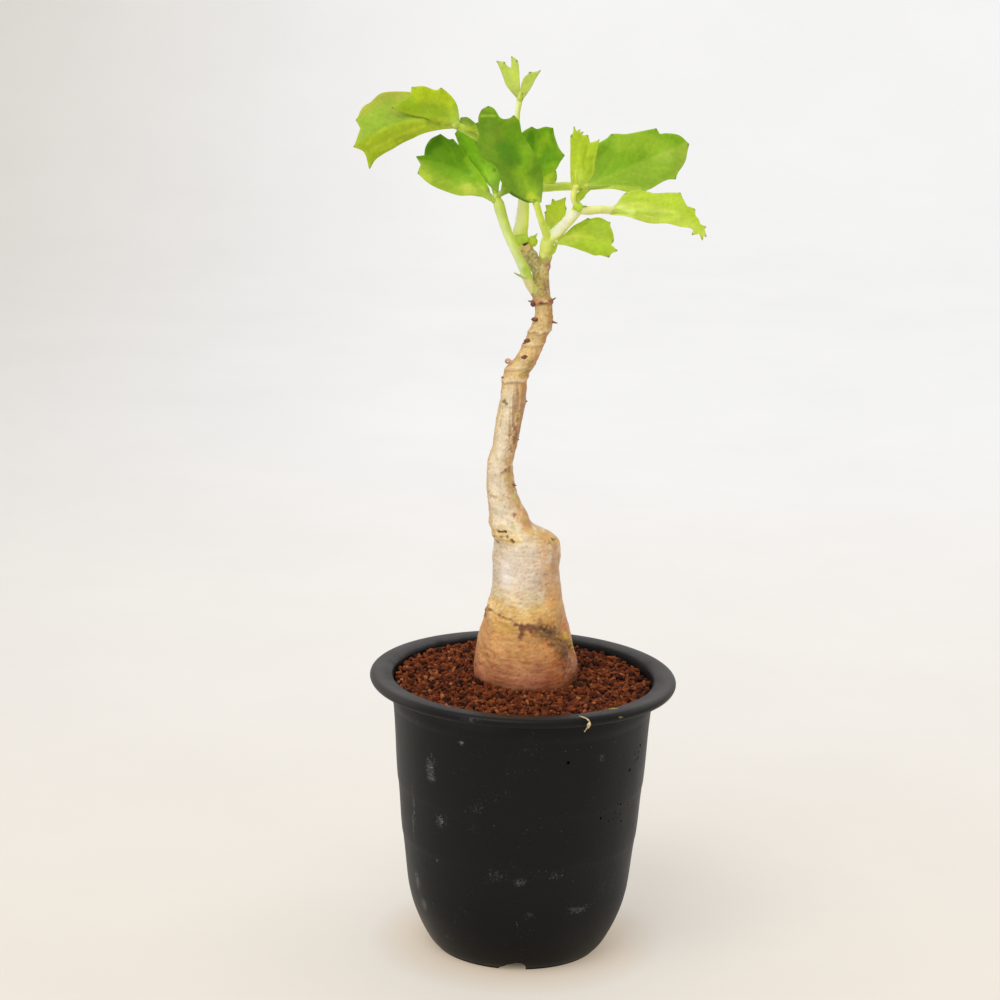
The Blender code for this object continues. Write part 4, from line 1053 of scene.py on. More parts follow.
# The crack line round the caudex
CRACK = [
    (-13, 3.5, 117.6), (-11.5, -0.3, 120.2), (-8.4, -4.7, 119.1), (-6.7, -5.9, 118.8), (-4.6, -7, 118.5),
    (-2.2, -7.8, 117), (-0.2, -8.2, 116.4), (3.9, -7.9, 116.8), (7, -6.8, 115.1), (9.4, -5.2, 113.8),
    (12.5, -2.4, 112.2), (16, 3, 110.5), (13, 12, 112), (4, 20, 114), (-8, 17, 116), (-13.4, 8, 117),
    (-13, 3.5, 117.6),
]
OCHRE = (0.66, 0.42, 0.09)
ORANGE = (0.6, 0.25, 0.07)
RUST = (0.36, 0.15, 0.05)
UMBER = (0.17, 0.075, 0.025)
MAROON = (0.15, 0.04, 0.02)
SOOT = (0.03, 0.014, 0.008)
OLIVE = (0.14, 0.1, 0.025)
YELLOW = (0.68, 0.39, 0.02)
# The colour of painted highlights, on the caudex, up the stem and along the ring scars.
CREAM_HIGHLIGHT = (0.9, 0.8, 0.64)
# Stains of the bark, and one painted shade: line, reach, raggedness, share left out, colour, strength,
# relief
STAINS = [
    (
        [(-14, 3, 116), (-12.8, 0.5, 114.4), (-12, -1.5, 110.5), (-13.5, 0, 107)], 3.2, 0.9, 0.2, ORANGE,
        0.6, 0.1,
    ),
    ([(-8.4, -4.6, 115.4), (-4, -7, 114.6)], 2.6, 0.9, 0.2, OCHRE, 0.5, 0),
    ([(-12.4, -1, 124), (-4, -6, 121.6), (4, -6.5, 121.4), (12, 0, 120)], 2.2, 1, 0.4, OCHRE, 0.6, 0),
    ([(10.8, 0, 142), (11.5, 0.5, 132), (13, 0, 121)], 3.6, 1, 0.1, (0.62, 0.34, 0.14), 0.62, 0),
    ([(6, -4, 119), (13, -1, 118)], 2.6, 0.9, 0.3, (0.5, 0.27, 0.07), 0.6, 0),
    (
        [(5.4, -7.2, 115.2), (9.8, -4.9, 113.4), (12.3, -3.8, 110.2), (12.3, -3.8, 107)], 3.8, 0.9, 0.1,
        (0.32, 0.145, 0.04), 0.8, 0.1,
    ),
    (
        [(6.3, -6.8, 115.2), (9.8, -4.9, 113.4), (12.3, -3.8, 110.2), (12.3, -3.8, 107)], 3, 1.1, 0.35,
        (0.17, 0.088, 0.018), 0.8, 0.15,
    ),
    ([(6.3, -6.8, 115.9), (7.4, -6.5, 114), (9.8, -5, 114)], 1.2, 0.6, 0.3, (0.06, 0.03, 0.012), 0.75, 0),
    (
        [(8.8, -6.4, 109.7), (11.2, -4.2, 110.5), (12.6, -3.6, 107.2)], 1.4, 0.8, 0.4, (0.08, 0.038, 0.01),
        0.75, 0,
    ),
    ([(11.8, -3.3, 113.8), (13.6, -1.7, 111.5)], 1.8, 0.7, 0.3, (0.44, 0.25, 0.03), 0.8, 0.1),
    ([(14.4, -0.7, 110.7), (15.4, 0.7, 109.1), (16.2, 1.9, 107.3)], 2, 0.6, 0.15, YELLOW, 0.95, 0.6),
    ([(-3.4, -7.6, 117.2), (-0.6, -8.1, 116.6)], 0.6, 0.3, 0, MAROON, 0.85, 0),
    ([(-0.6, -8.1, 116.4), (3.2, -7.9, 116)], 1.6, 0.5, 0, MAROON, 0.85, 0.05),
    # Painted shade down the caudex's lower right flank, drawn as a ragged dark stain.
    ([(14.4, -2.4, 107), (14.8, -3.8, 103), (16, -3.5, 98)], 3.6, 1, 0.2, (0.2, 0.06, 0.012), 0.75, 0),
    ([(-0.8, -8.2, 115.4), (-1.3, -8.4, 111.6)], 1, 0.3, 0, (0.19, 0.055, 0.025), 0.85, 0),
    ([(-1.4, -8.4, 112), (-1.8, -8.6, 107.8)], 0.5, 0.2, 0, RUST, 0.7, 0),
    ([(8.6, -1, 142.5), (8.4, -1.5, 137)], 2.2, 0.8, 0.1, (0.5, 0.27, 0.12), 0.6, 0),
    ([(-12.6, 2.4, 118.4), (-12.2, 0.6, 119.8)], 1.7, 0.4, 0.1, RUST, 0.8, 0.7),
    ([(-13.3, 3.6, 117.2), (-12.6, 1.6, 118)], 0.6, 0.2, 0, SOOT, 0.95, -0.4),
    (
        [(-11.5, 0, 146.6), (-7, -4.2, 147.4), (-4.4, -5, 146)], 2.6, 0.8, 0.15, (0.76, 0.5, 0.13), 0.75,
        0.25,
    ),
    (
        [(2.6, -3, 147.6), (4.8, -0.9, 147.5), (7.6, -2, 145.4), (9.6, 1, 144.6), (10.4, 5, 144.4)], 1.7,
        0.7, 0.2, OCHRE, 0.8, 0.2,
    ),
    ([(6.4, -3, 144.7), (7.4, -2.4, 144.9)], 0.7, 0.3, 0, UMBER, 0.8, 0),
    ([(8.7, -0.4, 145.4), (9.7, 1.6, 144.7)], 0.5, 0.2, 0, SOOT, 0.9, -0.2),
    ([(1.6, -0.6, 149.9), (0.8, -1.2, 150.6)], 0.5, 0.2, 0, UMBER, 0.8, 0),
    ([(-9.8, -2.1, 148.2), (-7.1, -3.8, 148.5)], 0.45, 0.12, 0, SOOT, 0.97, -0.7),
    ([(-10.6, -0.5, 146.2), (-8.6, -2.8, 146.4), (-6.5, -4.2, 146.9)], 0.5, 0.14, 0, SOOT, 0.97, -0.7),
    ([(-10.9, 0.3, 144.3), (-10.3, -0.8, 144.1)], 0.6, 0.2, 0, UMBER, 0.9, -0.3),
    ([(-4.9, -5.1, 146.3), (-4.5, -5.3, 145.6)], 0.6, 0.2, 0, UMBER, 0.9, -0.3),
    ([(-4.3, -2.3, 154.3), (-4.8, -2.2, 153.4)], 0.6, 0.3, 0, RUST, 0.85, -0.2),
    ([(-12.1, -0.9, 160.2), (-10.4, -2.2, 160)], 0.7, 0.3, 0.2, RUST, 0.6, 0),
    ([(-4.5, -0.5, 161), (-3.6, -0.4, 158.4)], 1.2, 0.5, 0.2, (0.6, 0.55, 0.08), 0.7, 0.1),
    ([(-4.9, 0.2, 164), (-4.4, 0.2, 163.4)], 0.5, 0.2, 0, SOOT, 0.9, -0.2),
    ([(-9.4, -2.4, 168.8), (-7.1, -1.7, 169.2)], 0.35, 0.15, 0, RUST, 0.75, -0.15),
    ([(-7.4, -1.7, 169.4), (-6.4, -0.9, 170.2), (-6.2, -0.9, 168.9)], 0.75, 0.3, 0, UMBER, 0.85, -0.3),
    ([(-7, -1.6, 172.6), (-6.4, -1.2, 170.6), (-6.6, -1.4, 167)], 1.5, 0.5, 0.1, (0.5, 0.27, 0.1), 0.6, 0),
    ([(-9.2, 0, 191.5), (-9.6, -0.6, 187)], 1.4, 0.6, 0.2, (0.56, 0.5, 0.12), 0.6, 0),
    ([(-4.6, -1.2, 191), (-5.2, -1.6, 186), (-5, -1.4, 177)], 1.9, 0.9, 0.45, (0.3, 0.14, 0.05), 0.8, -0.1),
    ([(-6.2, -1.8, 168), (-5, -1.4, 162.5)], 1.8, 0.8, 0.3, (0.52, 0.44, 0.14), 0.55, 0),
    ([(-4.4, 0, 187), (-4, 0, 176)], 1.4, 0.6, 0.1, (0.5, 0.27, 0.09), 0.7, 0),
    ([(-5.1, -2.3, 184.5), (-4.4, -1.4, 182.5), (-4.5, -1.1, 179.6)], 0.7, 0.5, 0.3, UMBER, 0.9, -0.15),
    ([(-8.8, -2, 193.6), (-8.2, -2.4, 193)], 0.8, 0.3, 0, OLIVE, 0.85, -0.1),
    ([(-1.6, 0.2, 193.4), (-1.4, 0.6, 193.2)], 0.5, 0.2, 0, UMBER, 0.9, 0),
    ([(-0.6, -0.3, 206.4), (-2, -0.9, 202.6)], 1.6, 0.6, 0.35, (0.3, 0.26, 0.06), 0.7, 0),
    ([(-9.4, 1, 200.9), (-4.6, -1.6, 200.9)], 0.4, 0.1, 0.1, RUST, 0.8, -0.1),
    ([(-2.6, 0.6, 217), (2, 0.3, 216.9), (5.4, 2, 217.2)], 0.3, 0.05, 0, RUST, 0.85, -0.1),
    ([(-0.6, 0.1, 212.6), (3.4, 1.2, 212.9)], 0.3, 0.05, 0.1, RUST, 0.7, -0.1),
    ([(-0.4, 1.7, 226.8), (2.4, 0.8, 226.9), (5.8, 2.2, 226.9)], 0.95, 0.3, 0, (0.46, 0.19, 0.06), 0.85, 0),
    ([(-0.8, 1.7, 227), (0.4, 1.4, 226.2)], 0.9, 0.3, 0, MAROON, 0.9, 0.1),
    ([(3, 0.6, 227), (4.2, 0.9, 226.8)], 0.7, 0.25, 0, MAROON, 0.9, 0.1),
    ([(5.4, 1.8, 227.2), (6.2, 2.6, 226.6)], 0.7, 0.3, 0, (0.24, 0.07, 0.03), 0.9, 0.1),
    ([(4.4, 2.2, 241), (4, 1.6, 239), (3.4, 1.2, 236.4)], 1.6, 0.8, 0.4, (0.5, 0.2, 0.05), 0.85, 0.1),
    ([(4.9, 2.8, 240.6), (5.2, 3, 240)], 0.5, 0.2, 0, UMBER, 0.9, 0.1),
    ([(-0.4, 1.6, 237.6), (-0.8, 1.4, 234), (0.2, 1.3, 231.6)], 1.3, 0.5, 0, (0.52, 0.62, 0.1), 0.75, 0),
    ([(3.4, 0.8, 237.8), (4.2, 1.4, 236.2)], 1.6, 0.6, 0.1, (0.64, 0.57, 0.2), 0.65, 0),
    ([(3, 1.4, 239.6), (2.2, 1.2, 238)], 0.9, 0.4, 0.1, (0.56, 0.56, 0.2), 0.6, 0),
]
# Leaf scars: place, half sizes
SCARS = [
    ((0.9, 1.3, 221.1), (1.4, 0.6, 0.65)), ((-1.4, 0.9, 213.9), (1.25, 0.6, 0.65)),
    ((-2, -0.7, 208.4), (1.15, 0.55, 1)), ((0.1, 1.4, 226.4), (1, 0.6, 0.9)),
    ((5.4, 2.1, 227), (0.8, 0.5, 0.6)), ((5, 2.8, 240.4), (0.5, 0.5, 0.4)),
]
# Dried stipules: root, tip, radius
HOOKS = [
    ((0.8, 2, 227), (-1.6, 1.6, 227.3), 0.75), ((5.4, 2.6, 227.2), (7.6, 1.9, 228.5), 0.6),
    ((5.6, 2.9, 220.6), (8.4, 2.4, 219.8), 0.7), ((5.4, 2.8, 221.4), (6.8, 2.4, 221.9), 0.5),
    ((-6.6, 1.2, 204), (-8.2, 0.7, 204.4), 0.7), ((-8.2, 1, 200.6), (-9.9, 0.5, 201.3), 0.75),
    ((-2.4, 0.6, 192.6), (-1, 0.2, 193.3), 0.5), ((-2.2, 1, 213.2), (-3, 0.8, 213), 0.5),
    ((-4.8, 1.2, 164), (-4, 1, 163.6), 0.5), ((-4.6, 1, 179.5), (-3.5, 0.7, 179.8), 0.45),
]


class Trunk:
    """The woody skin before its relief, with what its relief and colours are read from."""

    def __init__(self):
        self.heights = np.arange(CAUDEX_SECTIONS[0][0], CAUDEX_SECTIONS[-1][0], TRUNK_STEP)
        left, right, middle, depth = even(CAUDEX_SECTIONS, self.heights).T
        angles = turns(TRUNK_SIDES)
        x = ((left + right) / 2)[:, None] + ((right - left) / 2)[:, None] * np.cos(angles)
        y = middle[:, None] + depth[:, None] * np.sin(angles)
        z = np.repeat(self.heights[:, None], TRUNK_SIDES, axis=1)
        self.points = np.stack([x, y, z], axis=2).reshape(-1, 3)
        centre = np.stack([(left + right) / 2, middle, self.heights], axis=1)
        out = self.points - np.repeat(centre, TRUNK_SIDES, axis=0)
        self.radius = np.linalg.norm(out, axis=1)
        self.out = out / self.radius[:, None]
        self.z = self.points[:, 2]
        self.side = self.out[:, 0]
        self.base = 1 - ease(self.z, 143, 150)
        self.stem = 1 - self.base
        self.low = 1 - ease(self.z, 112, 124)
        self.level = self.points * (0.25, 0.25, 1)
        self.upright = self.points * (1, 1, 0.12)
        self.off_crack = near(self.points, CRACK) + 0.18 * ripple(self.points, 1.5, 5)
        self.front = 1 - 0.8 * ease(self.points[:, 0], -2, 4)
        self.waves = 0.3 * ripple(self.points, 4, 25)

    def past_ring(self, height):
        """How far above a ring scar each point is. The scars tilt and waver."""
        return self.z - height - 0.1 * self.side * self.radius - self.waves

    def relief(self):
        """Bulges, wrinkles, ring scars, and the crack with the flaking skin under it."""
        points, low = self.points, self.low
        lift = 0.28 * ripple(points, 15, 1) * self.base + 0.1 * ripple(points, 5, 2)
        lift += (0.02 + 0.03 * low) * ripple(self.level, 1.7, 3, 24) + 0.03 * ripple(self.level, 0.8, 4, 24)
        lift += 0.03 * ripple(points, 1.2, 23, 24) + 0.05 * self.stem * ripple(self.upright, 1.6, 24)
        for height, strength in RINGS:
            off = self.past_ring(height)
            lift += strength * (bell(off, 0.7) - 0.4 * bell(off - 1.5, 0.7))
        lift -= 0.35 * bell(self.off_crack, 0.4) * self.front
        lift += 0.32 * (1 - ease(self.off_crack, 0.3, 3)) * (self.z < 118) * self.front
        return lift

    def bands(self):
        """The bark's colour by height, with fine mottling, a warmer right flank and a browner stem edge that
        are partly painted shade, pinkish parts, flakes and pits.
        """
        points, z, side, low = self.points, self.z, self.side, self.low
        zones = np.array(BARK_ZONES)
        shifted = z + 1.2 * ripple(points, 6, 11) * self.base
        tint = np.stack([np.interp(shifted, zones[:, 0], zones[:, k]) for k in (1, 2, 3)], axis=1)
        fine = 0.05 * ripple(points, 6, 12) + 0.04 * ripple(self.level, 1.6, 13) * self.base
        tint = tint * (1 + (fine + 0.07 * ripple(points, 1.4, 26, 24)))[:, None]
        # A warmer, darker right flank: partly the bark's orange-brown, partly painted shade away from the
        # key light.
        tint = dyed(tint, (0.9, 0.64, 0.38), ease(side, 0.1, 0.85) * patchy(points, 7, 14, -1.3, 0.2))
        # Darker and browner along the stem's left edge: partly the bark's brown, partly painted shade.
        tint = dyed(tint, (0.84, 0.68, 0.5), 0.8 * self.stem * ease(-side, 0.7, 1))
        pinkish = patchy(points, 3.2, 32, 0.3, 1.1, 20) * (0.5 + 0.5 * low)
        tint = dyed(tint, (0.9, 0.64, 0.56), 0.6 * pinkish)
        flakes = 0.55 * patchy(points * (0.6, 0.6, 1), 1.9, 33, 0.35, 0.8, 24) * (0.3 + 0.7 * low)
        tint = mix(tint, np.minimum(tint * (1.15, 1.3, 1.6), 0.92), flakes * ease(z, 97, 101))
        return dyed(tint, (0.7, 0.52, 0.42), 0.7 * patchy(points * (0.7, 0.7, 1), 1.3, 34, 0.65, 1.15, 24))

    def shading(self, tint):
        """The caudex's painted highlight and painted shade at its left edge, a painted highlight up the
        caudex and stem, the stem's streaks and speckles, the crack, the foot with painted shade on its
        right, and the ring scars with a painted highlight along each.
        """
        points, z, side, stem = self.points, self.z, self.side, self.stem
        # Painted highlight: a pale patch on the front of the caudex, left of the middle.
        shine = np.hypot((points[:, 0] + 6.6) / 3.2, (z - 134) / 7.5)
        tint = mix(tint, (0.93, 0.83, 0.78), 0.75 * (1 - ease(shine, 0.2, 1.1)) * (points[:, 1] < 0))
        # Painted shade along the caudex's left edge.
        tint = dyed(tint, (0.82, 0.82, 0.76), 0.9 * self.base * ease(-side, 0.55, 0.95) * ease(z, 120, 128))
        # A painted highlight in a band left of the middle, up the caudex and the stem.
        lit = 0.45 * bell(side + 0.32, 0.32) * ease(z, 124, 134) * (1 - ease(z, 192, 202))
        tint = mix(tint, CREAM_HIGHLIGHT, lit)
        streaky = ease(z, 172, 184) * (1 - ease(z, 198, 202))
        streaky = streaky + 0.4 * ease(z, 203, 210) * (1 - ease(z, 222, 228))
        streaks = ease(ripple(self.upright, 1.5, 27, 20) + 0.9 * side, 0.1, 0.9)
        tint = mix(tint, (0.38, 0.19, 0.07), 0.7 * streaky * streaks)
        rusty = 0.7 * stem * ease(side, 0.35, 0.95) * patchy(points, 3, 35, -0.7, 0.5, 20)
        tint = mix(tint, (0.5, 0.24, 0.08), rusty)
        speckled = ease(z, 228, 231)
        tint = mix(tint, (0.24, 0.17, 0.05), 0.65 * speckled * patchy(points, 1.1, 28, 0, 0.7, 24))
        tint = mix(tint, (0.7, 0.62, 0.4), 0.5 * speckled * patchy(points, 1.2, 36, 0.3, 0.8, 24))
        tint = mix(tint, (0.56, 0.5, 0.14), 0.45 * stem * patchy(points, 4, 16, 0.7, 1.3))
        tint = mix(tint, (0.2, 0.085, 0.025), 0.9 * bell(self.off_crack, 0.42) * self.front)
        # Painted shade on the right of the caudex's foot.
        tint = mix(tint, (0.11, 0.045, 0.045), 0.7 * ease(side, 0.72, 1) * (1 - ease(z, 97, 103)))
        tint = mix(tint, UMBER, 0.5 * (1 - ease(z + ripple(points, 5, 29), 94, 96.8)))
        tint = mix(tint, RUST, 0.3 * self.low * patchy(points * (0.5, 0.5, 1), 1.8, 30, 0.4, 1, 24))
        # Each ring scar: a rust line under it, and a painted highlight along its top.
        for height, strength in RINGS:
            off = self.past_ring(height)
            tint = mix(tint, RUST, 0.8 * min(1, 2 * strength) * stem * bell(off + 0.7, 0.35))
            tint = mix(tint, CREAM_HIGHLIGHT, 0.5 * min(1, 2 * strength) * stem * bell(off - 0.2, 0.4))
        return tint


def stained(points, tint, lift):
    """Colours and raises the skin along each stain's line, with a ragged edge and gaps."""
    for k, (line, reach, ragged, gaps, colour, strength, relief) in enumerate(STAINS):
        off = near(points, line) + ragged * ripple(points, 1.2 + 0.8 * reach, 100 + k)
        share = strength * (1 - ease(off, 0.5 * reach, 1.2 * reach))
        if gaps:
            share = share * patchy(points, 1.5, 200 + k, 2 * gaps - 1.2, 2 * gaps - 0.6)
        tint = mix(tint, colour, share)
        lift = lift + relief * share
    return tint, lift


def stub(shape):
    """The speckled stub, its pale rounded top with a dark edge, and a dry splinter on it."""
    points, faces, _ = tube(STUB, 40, 14, rough=0.07, seed=8)
    tint = mix((0.56, 0.46, 0.17), (0.2, 0.15, 0.04), 0.7 * patchy(points, 1.1, 22, 0, 0.7, 24))
    tint = mix(tint, (0.68, 0.58, 0.38), 0.6 * patchy(points, 1.3, 37, 0.2, 0.8, 24))
    shape.add(points, faces, tint)
    points, faces = blob((-3, 3.8, 244.9), (2.1, 1.7, 2.3), seed=12, rough=0.05)
    tint = mix((0.78, 0.6, 0.24), (0.6, 0.42, 0.14), patchy(points, 1.5, 31, -0.2, 0.8))
    edge = near(points, [(-4.6, 2.6, 243.6), (-3.4, 2.1, 242.9), (-1.6, 2.4, 243.2)])
    shape.add(points, faces, mix(tint, (0.28, 0.1, 0.05), 1 - ease(edge, 0.3, 0.7)))
    splinter = [(-3.9, 2.3, 246, 0.2), (-3.2, 2.15, 246.3, 0.34), (-2.3, 2.3, 246.8, 0.18)]
    shape.add(*tube(splinter, 8, 4, round_end=True)[:2], SOOT)


def woody():
    """The caudex and the stem as one skin, with its stub, leaf scars, dried stipules and curl."""
    trunk = Trunk()
    tint = trunk.shading(trunk.bands())
    tint, lift = stained(trunk.points, tint, trunk.relief())
    points = trunk.points + trunk.out * lift[:, None]
    shape = Shape()
    shape.add(points, skin(points.reshape(len(trunk.heights), TRUNK_SIDES, 3))[1], tint)
    stub(shape)
    for centre, sizes in SCARS:
        points, faces = blob(centre, sizes, seed=int(centre[2]), rough=0.18, rows=14, sides=20)
        worn = patchy(points, 0.9, int(centre[2]), 0.1, 0.7)
        shape.add(points, faces, mix(MAROON, (0.26, 0.09, 0.04), worn))
    for root, tip, radius in HOOKS:
        stipule(shape, root, tip, radius, ((0.34, 0.16, 0.08), MAROON), 0.15)
    points, faces, shares = tube(CURL, 12, 6, round_end=True, rough=0.15)
    shape.add(points, faces, mix((0.72, 0.5, 0.32), (0.45, 0.24, 0.14), shares))
    own(shape.build("caudex_fine", bark("bark")), "caudex")


# Pot

CHARCOAL = (0.0054, 0.0054, 0.0056)
LOW_CHARCOAL = (0.0018, 0.0017, 0.0016)
# The lip top's colour, lighter than the plastic, is a painted sheen; the bluish colour two lines down is a
# painted sheen on the wall.
LIP_TOP_SHEEN = (0.048, 0.042, 0.043)
LIP_FRONT = (0.0058, 0.0058, 0.006)
SHEEN = (0.014, 0.0145, 0.018)
POT_SHARP = 50
POT_SIDES = 240
NOTCHES = 4
SPECK_SIDES = 8
SHRED_TINT = (0.62, 0.5, 0.28)
# Dust on the wall, the last row a painted sheen on the lip's front left: angle in degrees, height, half
# spread round and up, strength
DUST_AND_SHEEN = [
    (-134.5, 73.5, 2.8, 5, 0.36), (-134, 69, 3, 0.7, 0.4), (-149.4, 58, 0.6, 7, 0.5),
    (-151.6, 48, 0.6, 6, 0.4), (-130.5, 55.2, 3.4, 3.2, 0.34), (-133.7, 39.6, 1.3, 1.3, 0.42),
    (-153, 27, 1.8, 3.6, 0.42), (-148.6, 19.4, 2.2, 2.8, 0.5), (-103, 66, 9, 6, 0.12),
    (-117.5, 85.1, 1.2, 0.9, 0.5), (-99, 38, 4, 2.6, 0.24), (-89.3, 36.1, 2.2, 2.2, 0.3),
    (-74, 38.4, 6, 3, 0.28), (-90.1, 19.2, 1.8, 2.6, 0.28), (-84.8, 24.4, 2.6, 2, 0.26),
    (-58.6, 24.1, 4.6, 1.7, 0.32), (-52.1, 79.6, 1.2, 2.4, 0.32), (-132.6, 10.3, 2.2, 0.5, 0.8),
    (20, 60, 18, 22, 0.2), (95, 40, 20, 24, 0.2), (165, 50, 15, 26, 0.2), (60, 20, 12, 8, 0.25),
    # A painted sheen on the lip's front left, not dust.
    (-112, 96.6, 9, 0.9, 0.22),
]
# Specks on the pot: angle in degrees, height, half spread round and up, count, least and most size
CHALK = [
    (-149.4, 57, 0.35, 9, 30, 0.08, 0.26), (-134.5, 73, 1.8, 4.5, 26, 0.08, 0.3),
    (-134, 68.9, 2, 0.3, 8, 0.12, 0.34), (-117.5, 85.1, 0.9, 0.6, 6, 0.12, 0.42),
    (-130.5, 55, 2, 2, 16, 0.08, 0.3), (-133.7, 39.6, 0.6, 0.6, 4, 0.12, 0.45),
    (-153, 27, 1.2, 3, 16, 0.1, 0.4), (-148.6, 19, 1.5, 2.2, 18, 0.12, 0.5),
    (-132.6, 10.3, 1.9, 0.28, 16, 0.16, 0.42), (-103, 66, 7, 5, 36, 0.05, 0.16),
    (-75, 38.5, 4.5, 2, 16, 0.06, 0.2), (-89.3, 36.1, 1.4, 1.4, 10, 0.06, 0.24),
    (-90.1, 19, 1, 2, 8, 0.08, 0.26), (-58.6, 24, 3.4, 1, 12, 0.06, 0.24),
    (-52, 79.5, 1.1, 1.8, 6, 0.08, 0.26), (-110, 48, 26, 34, 90, 0.04, 0.13),
    (-60, 50, 22, 34, 60, 0.04, 0.13), (20, 60, 18, 25, 60, 0.05, 0.24), (95, 40, 20, 26, 70, 0.05, 0.28),
    (165, 50, 16, 28, 60, 0.05, 0.24), (60, 20, 12, 8, 40, 0.06, 0.3),
]
WET = [
    (-32, 70.9, 0.5, 0.5, 3, 0.5, 0.9), (-41.7, 68.3, 1.4, 1.4, 8, 0.3, 0.9),
    (-25.4, 75.6, 2.4, 3, 12, 0.2, 0.5), (-48.3, 60.6, 2, 3.5, 8, 0.2, 0.5),
    (-68.9, 78.8, 0.8, 0.8, 3, 0.3, 0.5), (-36, 62, 6, 9, 26, 0.15, 0.5),
]
# The dried shred on the rim, as three strings of x, y, z and radius
SHRED = [
    [
        (18.6, -45.8, 97.7, 0.14), (19.6, -47.2, 97.9, 0.2), (20.8, -48.4, 97.9, 0.2),
        (21.6, -49.6, 97.6, 0.22),
    ],
    [
        (21.6, -49.2, 97.6, 0.22), (21.9, -49.5, 97, 0.3), (21.8, -49.7, 96.2, 0.55),
        (21.4, -49.6, 95.2, 0.4),
    ],
    [
        (21.4, -49.5, 95.2, 0.35), (20.9, -49.2, 94.4, 0.15), (20.6, -48.6, 93.6, 0.16),
        (20.4, -47.4, 93, 0.35),
    ],
]


def wall_radius(height):
    rows = np.array(POT_WALL)
    return np.interp(height, rows[:, 0], rows[:, 1])


def leaning(points):
    """The points with the rim a little higher in front and on the left, as pressed out of round."""
    x, y, z = points.T
    rise = ease(z, 78, 95) * (0.5 - 0.0095 * x - 0.01 * y)
    return np.stack([x, y, z + rise], axis=1)


def cut(piece, cutters):
    """Cuts closed forms from a piece by one Boolean that is applied."""
    tools = bpy.data.collections.new("tools")
    bpy.context.scene.collection.children.link(tools)
    for points, faces in cutters:
        data = bpy.data.meshes.new("tool")
        data.from_pydata((points * MM).tolist(), [], faces)
        data.color_attributes.new("tint", "FLOAT_COLOR", "POINT")
        data.materials.append(piece.data.materials[0])
        tools.objects.link(bpy.data.objects.new("tool", data))
    change = piece.modifiers.new("cut", "BOOLEAN")
    change.operation = "DIFFERENCE"
    change.operand_type = "COLLECTION"
    change.collection = tools
    change.solver = "EXACT"
    graph = bpy.context.evaluated_depsgraph_get()
    piece.data = bpy.data.meshes.new_from_object(piece.evaluated_get(graph))
    piece.modifiers.remove(change)
    for tool in list(tools.objects):
        bpy.data.objects.remove(tool)
    bpy.data.collections.remove(tools)


def pot_profile():
    """The wall's section as radius and height: up outside, over the lip, down inside, and under."""
    rows = [POT_WALL[0], (0.6, 28.6)] + POT_WALL[1:]
    heights = np.concatenate([np.arange(0, 93.4, 1.1), [row[0] for row in rows]])
    heights = np.unique(np.round(heights, 3))
    outer = list(zip(even(rows, heights)[:, 0], heights))
    lip = [(min(r, POT_RADIUS), h) for r, h in catmull([(45.2, 93.4)] + POT_LIP + [(44.4, 94.6)], 5)][1:]
    floor = PLATE_Z + WALL
    inner = [(wall_radius(h) - WALL, h) for h in np.linspace(93, floor + 1.5, 24)]
    inner.append((wall_radius(floor) - 3.4, floor))
    foot = FOOT_RADIUS - FOOT_WIDTH
    under = [(DRAIN_RADIUS, floor), (DRAIN_RADIUS, PLATE_Z), (foot - 0.6, PLATE_Z), (foot, 2.4), (foot, 0)]
    return outer + lip + inner + under


def pot_cutters():
    """The ring of small drain holes, and four notches in the foot."""
    cutters = []
    for k in range(DRAIN_HOLES):
        angle = 2 * math.pi * (k + 0.5) / DRAIN_HOLES
        centre = (DRAIN_RING_RADIUS * math.cos(angle), DRAIN_RING_RADIUS * math.sin(angle), 0)
        cutters.append(skin([circle(SMALL_DRAIN_RADIUS, z, 32) + centre for z in (1, 7)]))
    for k in range(NOTCHES):
        angle = 2 * math.pi * k / NOTCHES - math.pi / 2
        outward = np.array([math.cos(angle), math.sin(angle), 0])
        aside = np.array([-outward[1], outward[0], 0])
        rings = []
        for reach in (FOOT_RADIUS - 2 * FOOT_WIDTH, FOOT_RADIUS + 2 * FOOT_WIDTH):
            ring = [outward * reach + aside * (x + NOTCH_SHIFT) + np.array([0, 0, z]) for x, z in NOTCH]
            rings.append(np.array(ring))
        cutters.append(skin(rings))
    return cutters


def dust_and_sheen_on(points):
    """How much dust lies at each point of the wall, with a painted sheen on the lip's front left added in
    the same way.
    """
    angles = np.degrees(np.arctan2(points[:, 1], points[:, 0]))
    radius = np.hypot(points[:, 0], points[:, 1])
    amount = 0.09 + 0.05 * ripple(points, 30, 41) + 0.05 * ripple(points, 9, 42)
    for degrees, height, wide, tall, strength in DUST_AND_SHEEN:
        across = np.radians((angles - degrees + 180) % 360 - 180) * radius / wide
        off = np.hypot(across, (points[:, 2] - height) / tall)
        amount = amount + 0.75 * strength * bell(off, 1) * (radius > 25)
    return amount


def pot_tints(points):
    """Charcoal that is darker low down, the lip's top painted lighter towards the back and the outer edge as
    a painted sheen, and a painted bluish sheen at the left.
    """
    x, y, z = points.T
    inward = ease(np.hypot(x, y), 50, 45.4)
    # The lip's top: a painted sheen, lighter towards the back and the outer edge, mottled on its inner half.
    lip = mix(LIP_FRONT, LIP_TOP_SHEEN, ease(y, -46, -24))
    lip = lip * (1.02 - 0.62 * inward + 0.22 * ripple(points, 7, 43) * inward)[:, None]
    tint = mix(mix(CHARCOAL, LOW_CHARCOAL, ease(z, 34, 8)), lip, ease(z, 95.8, 97.2))
    # A painted bluish sheen under the lip's front left.
    sheen = np.hypot((x + 18) / 17, (z - 92.5) / 3.4)
    return mix(tint, SHEEN, (1 - ease(sheen, 0.2, 1.1)) * (y < -30))


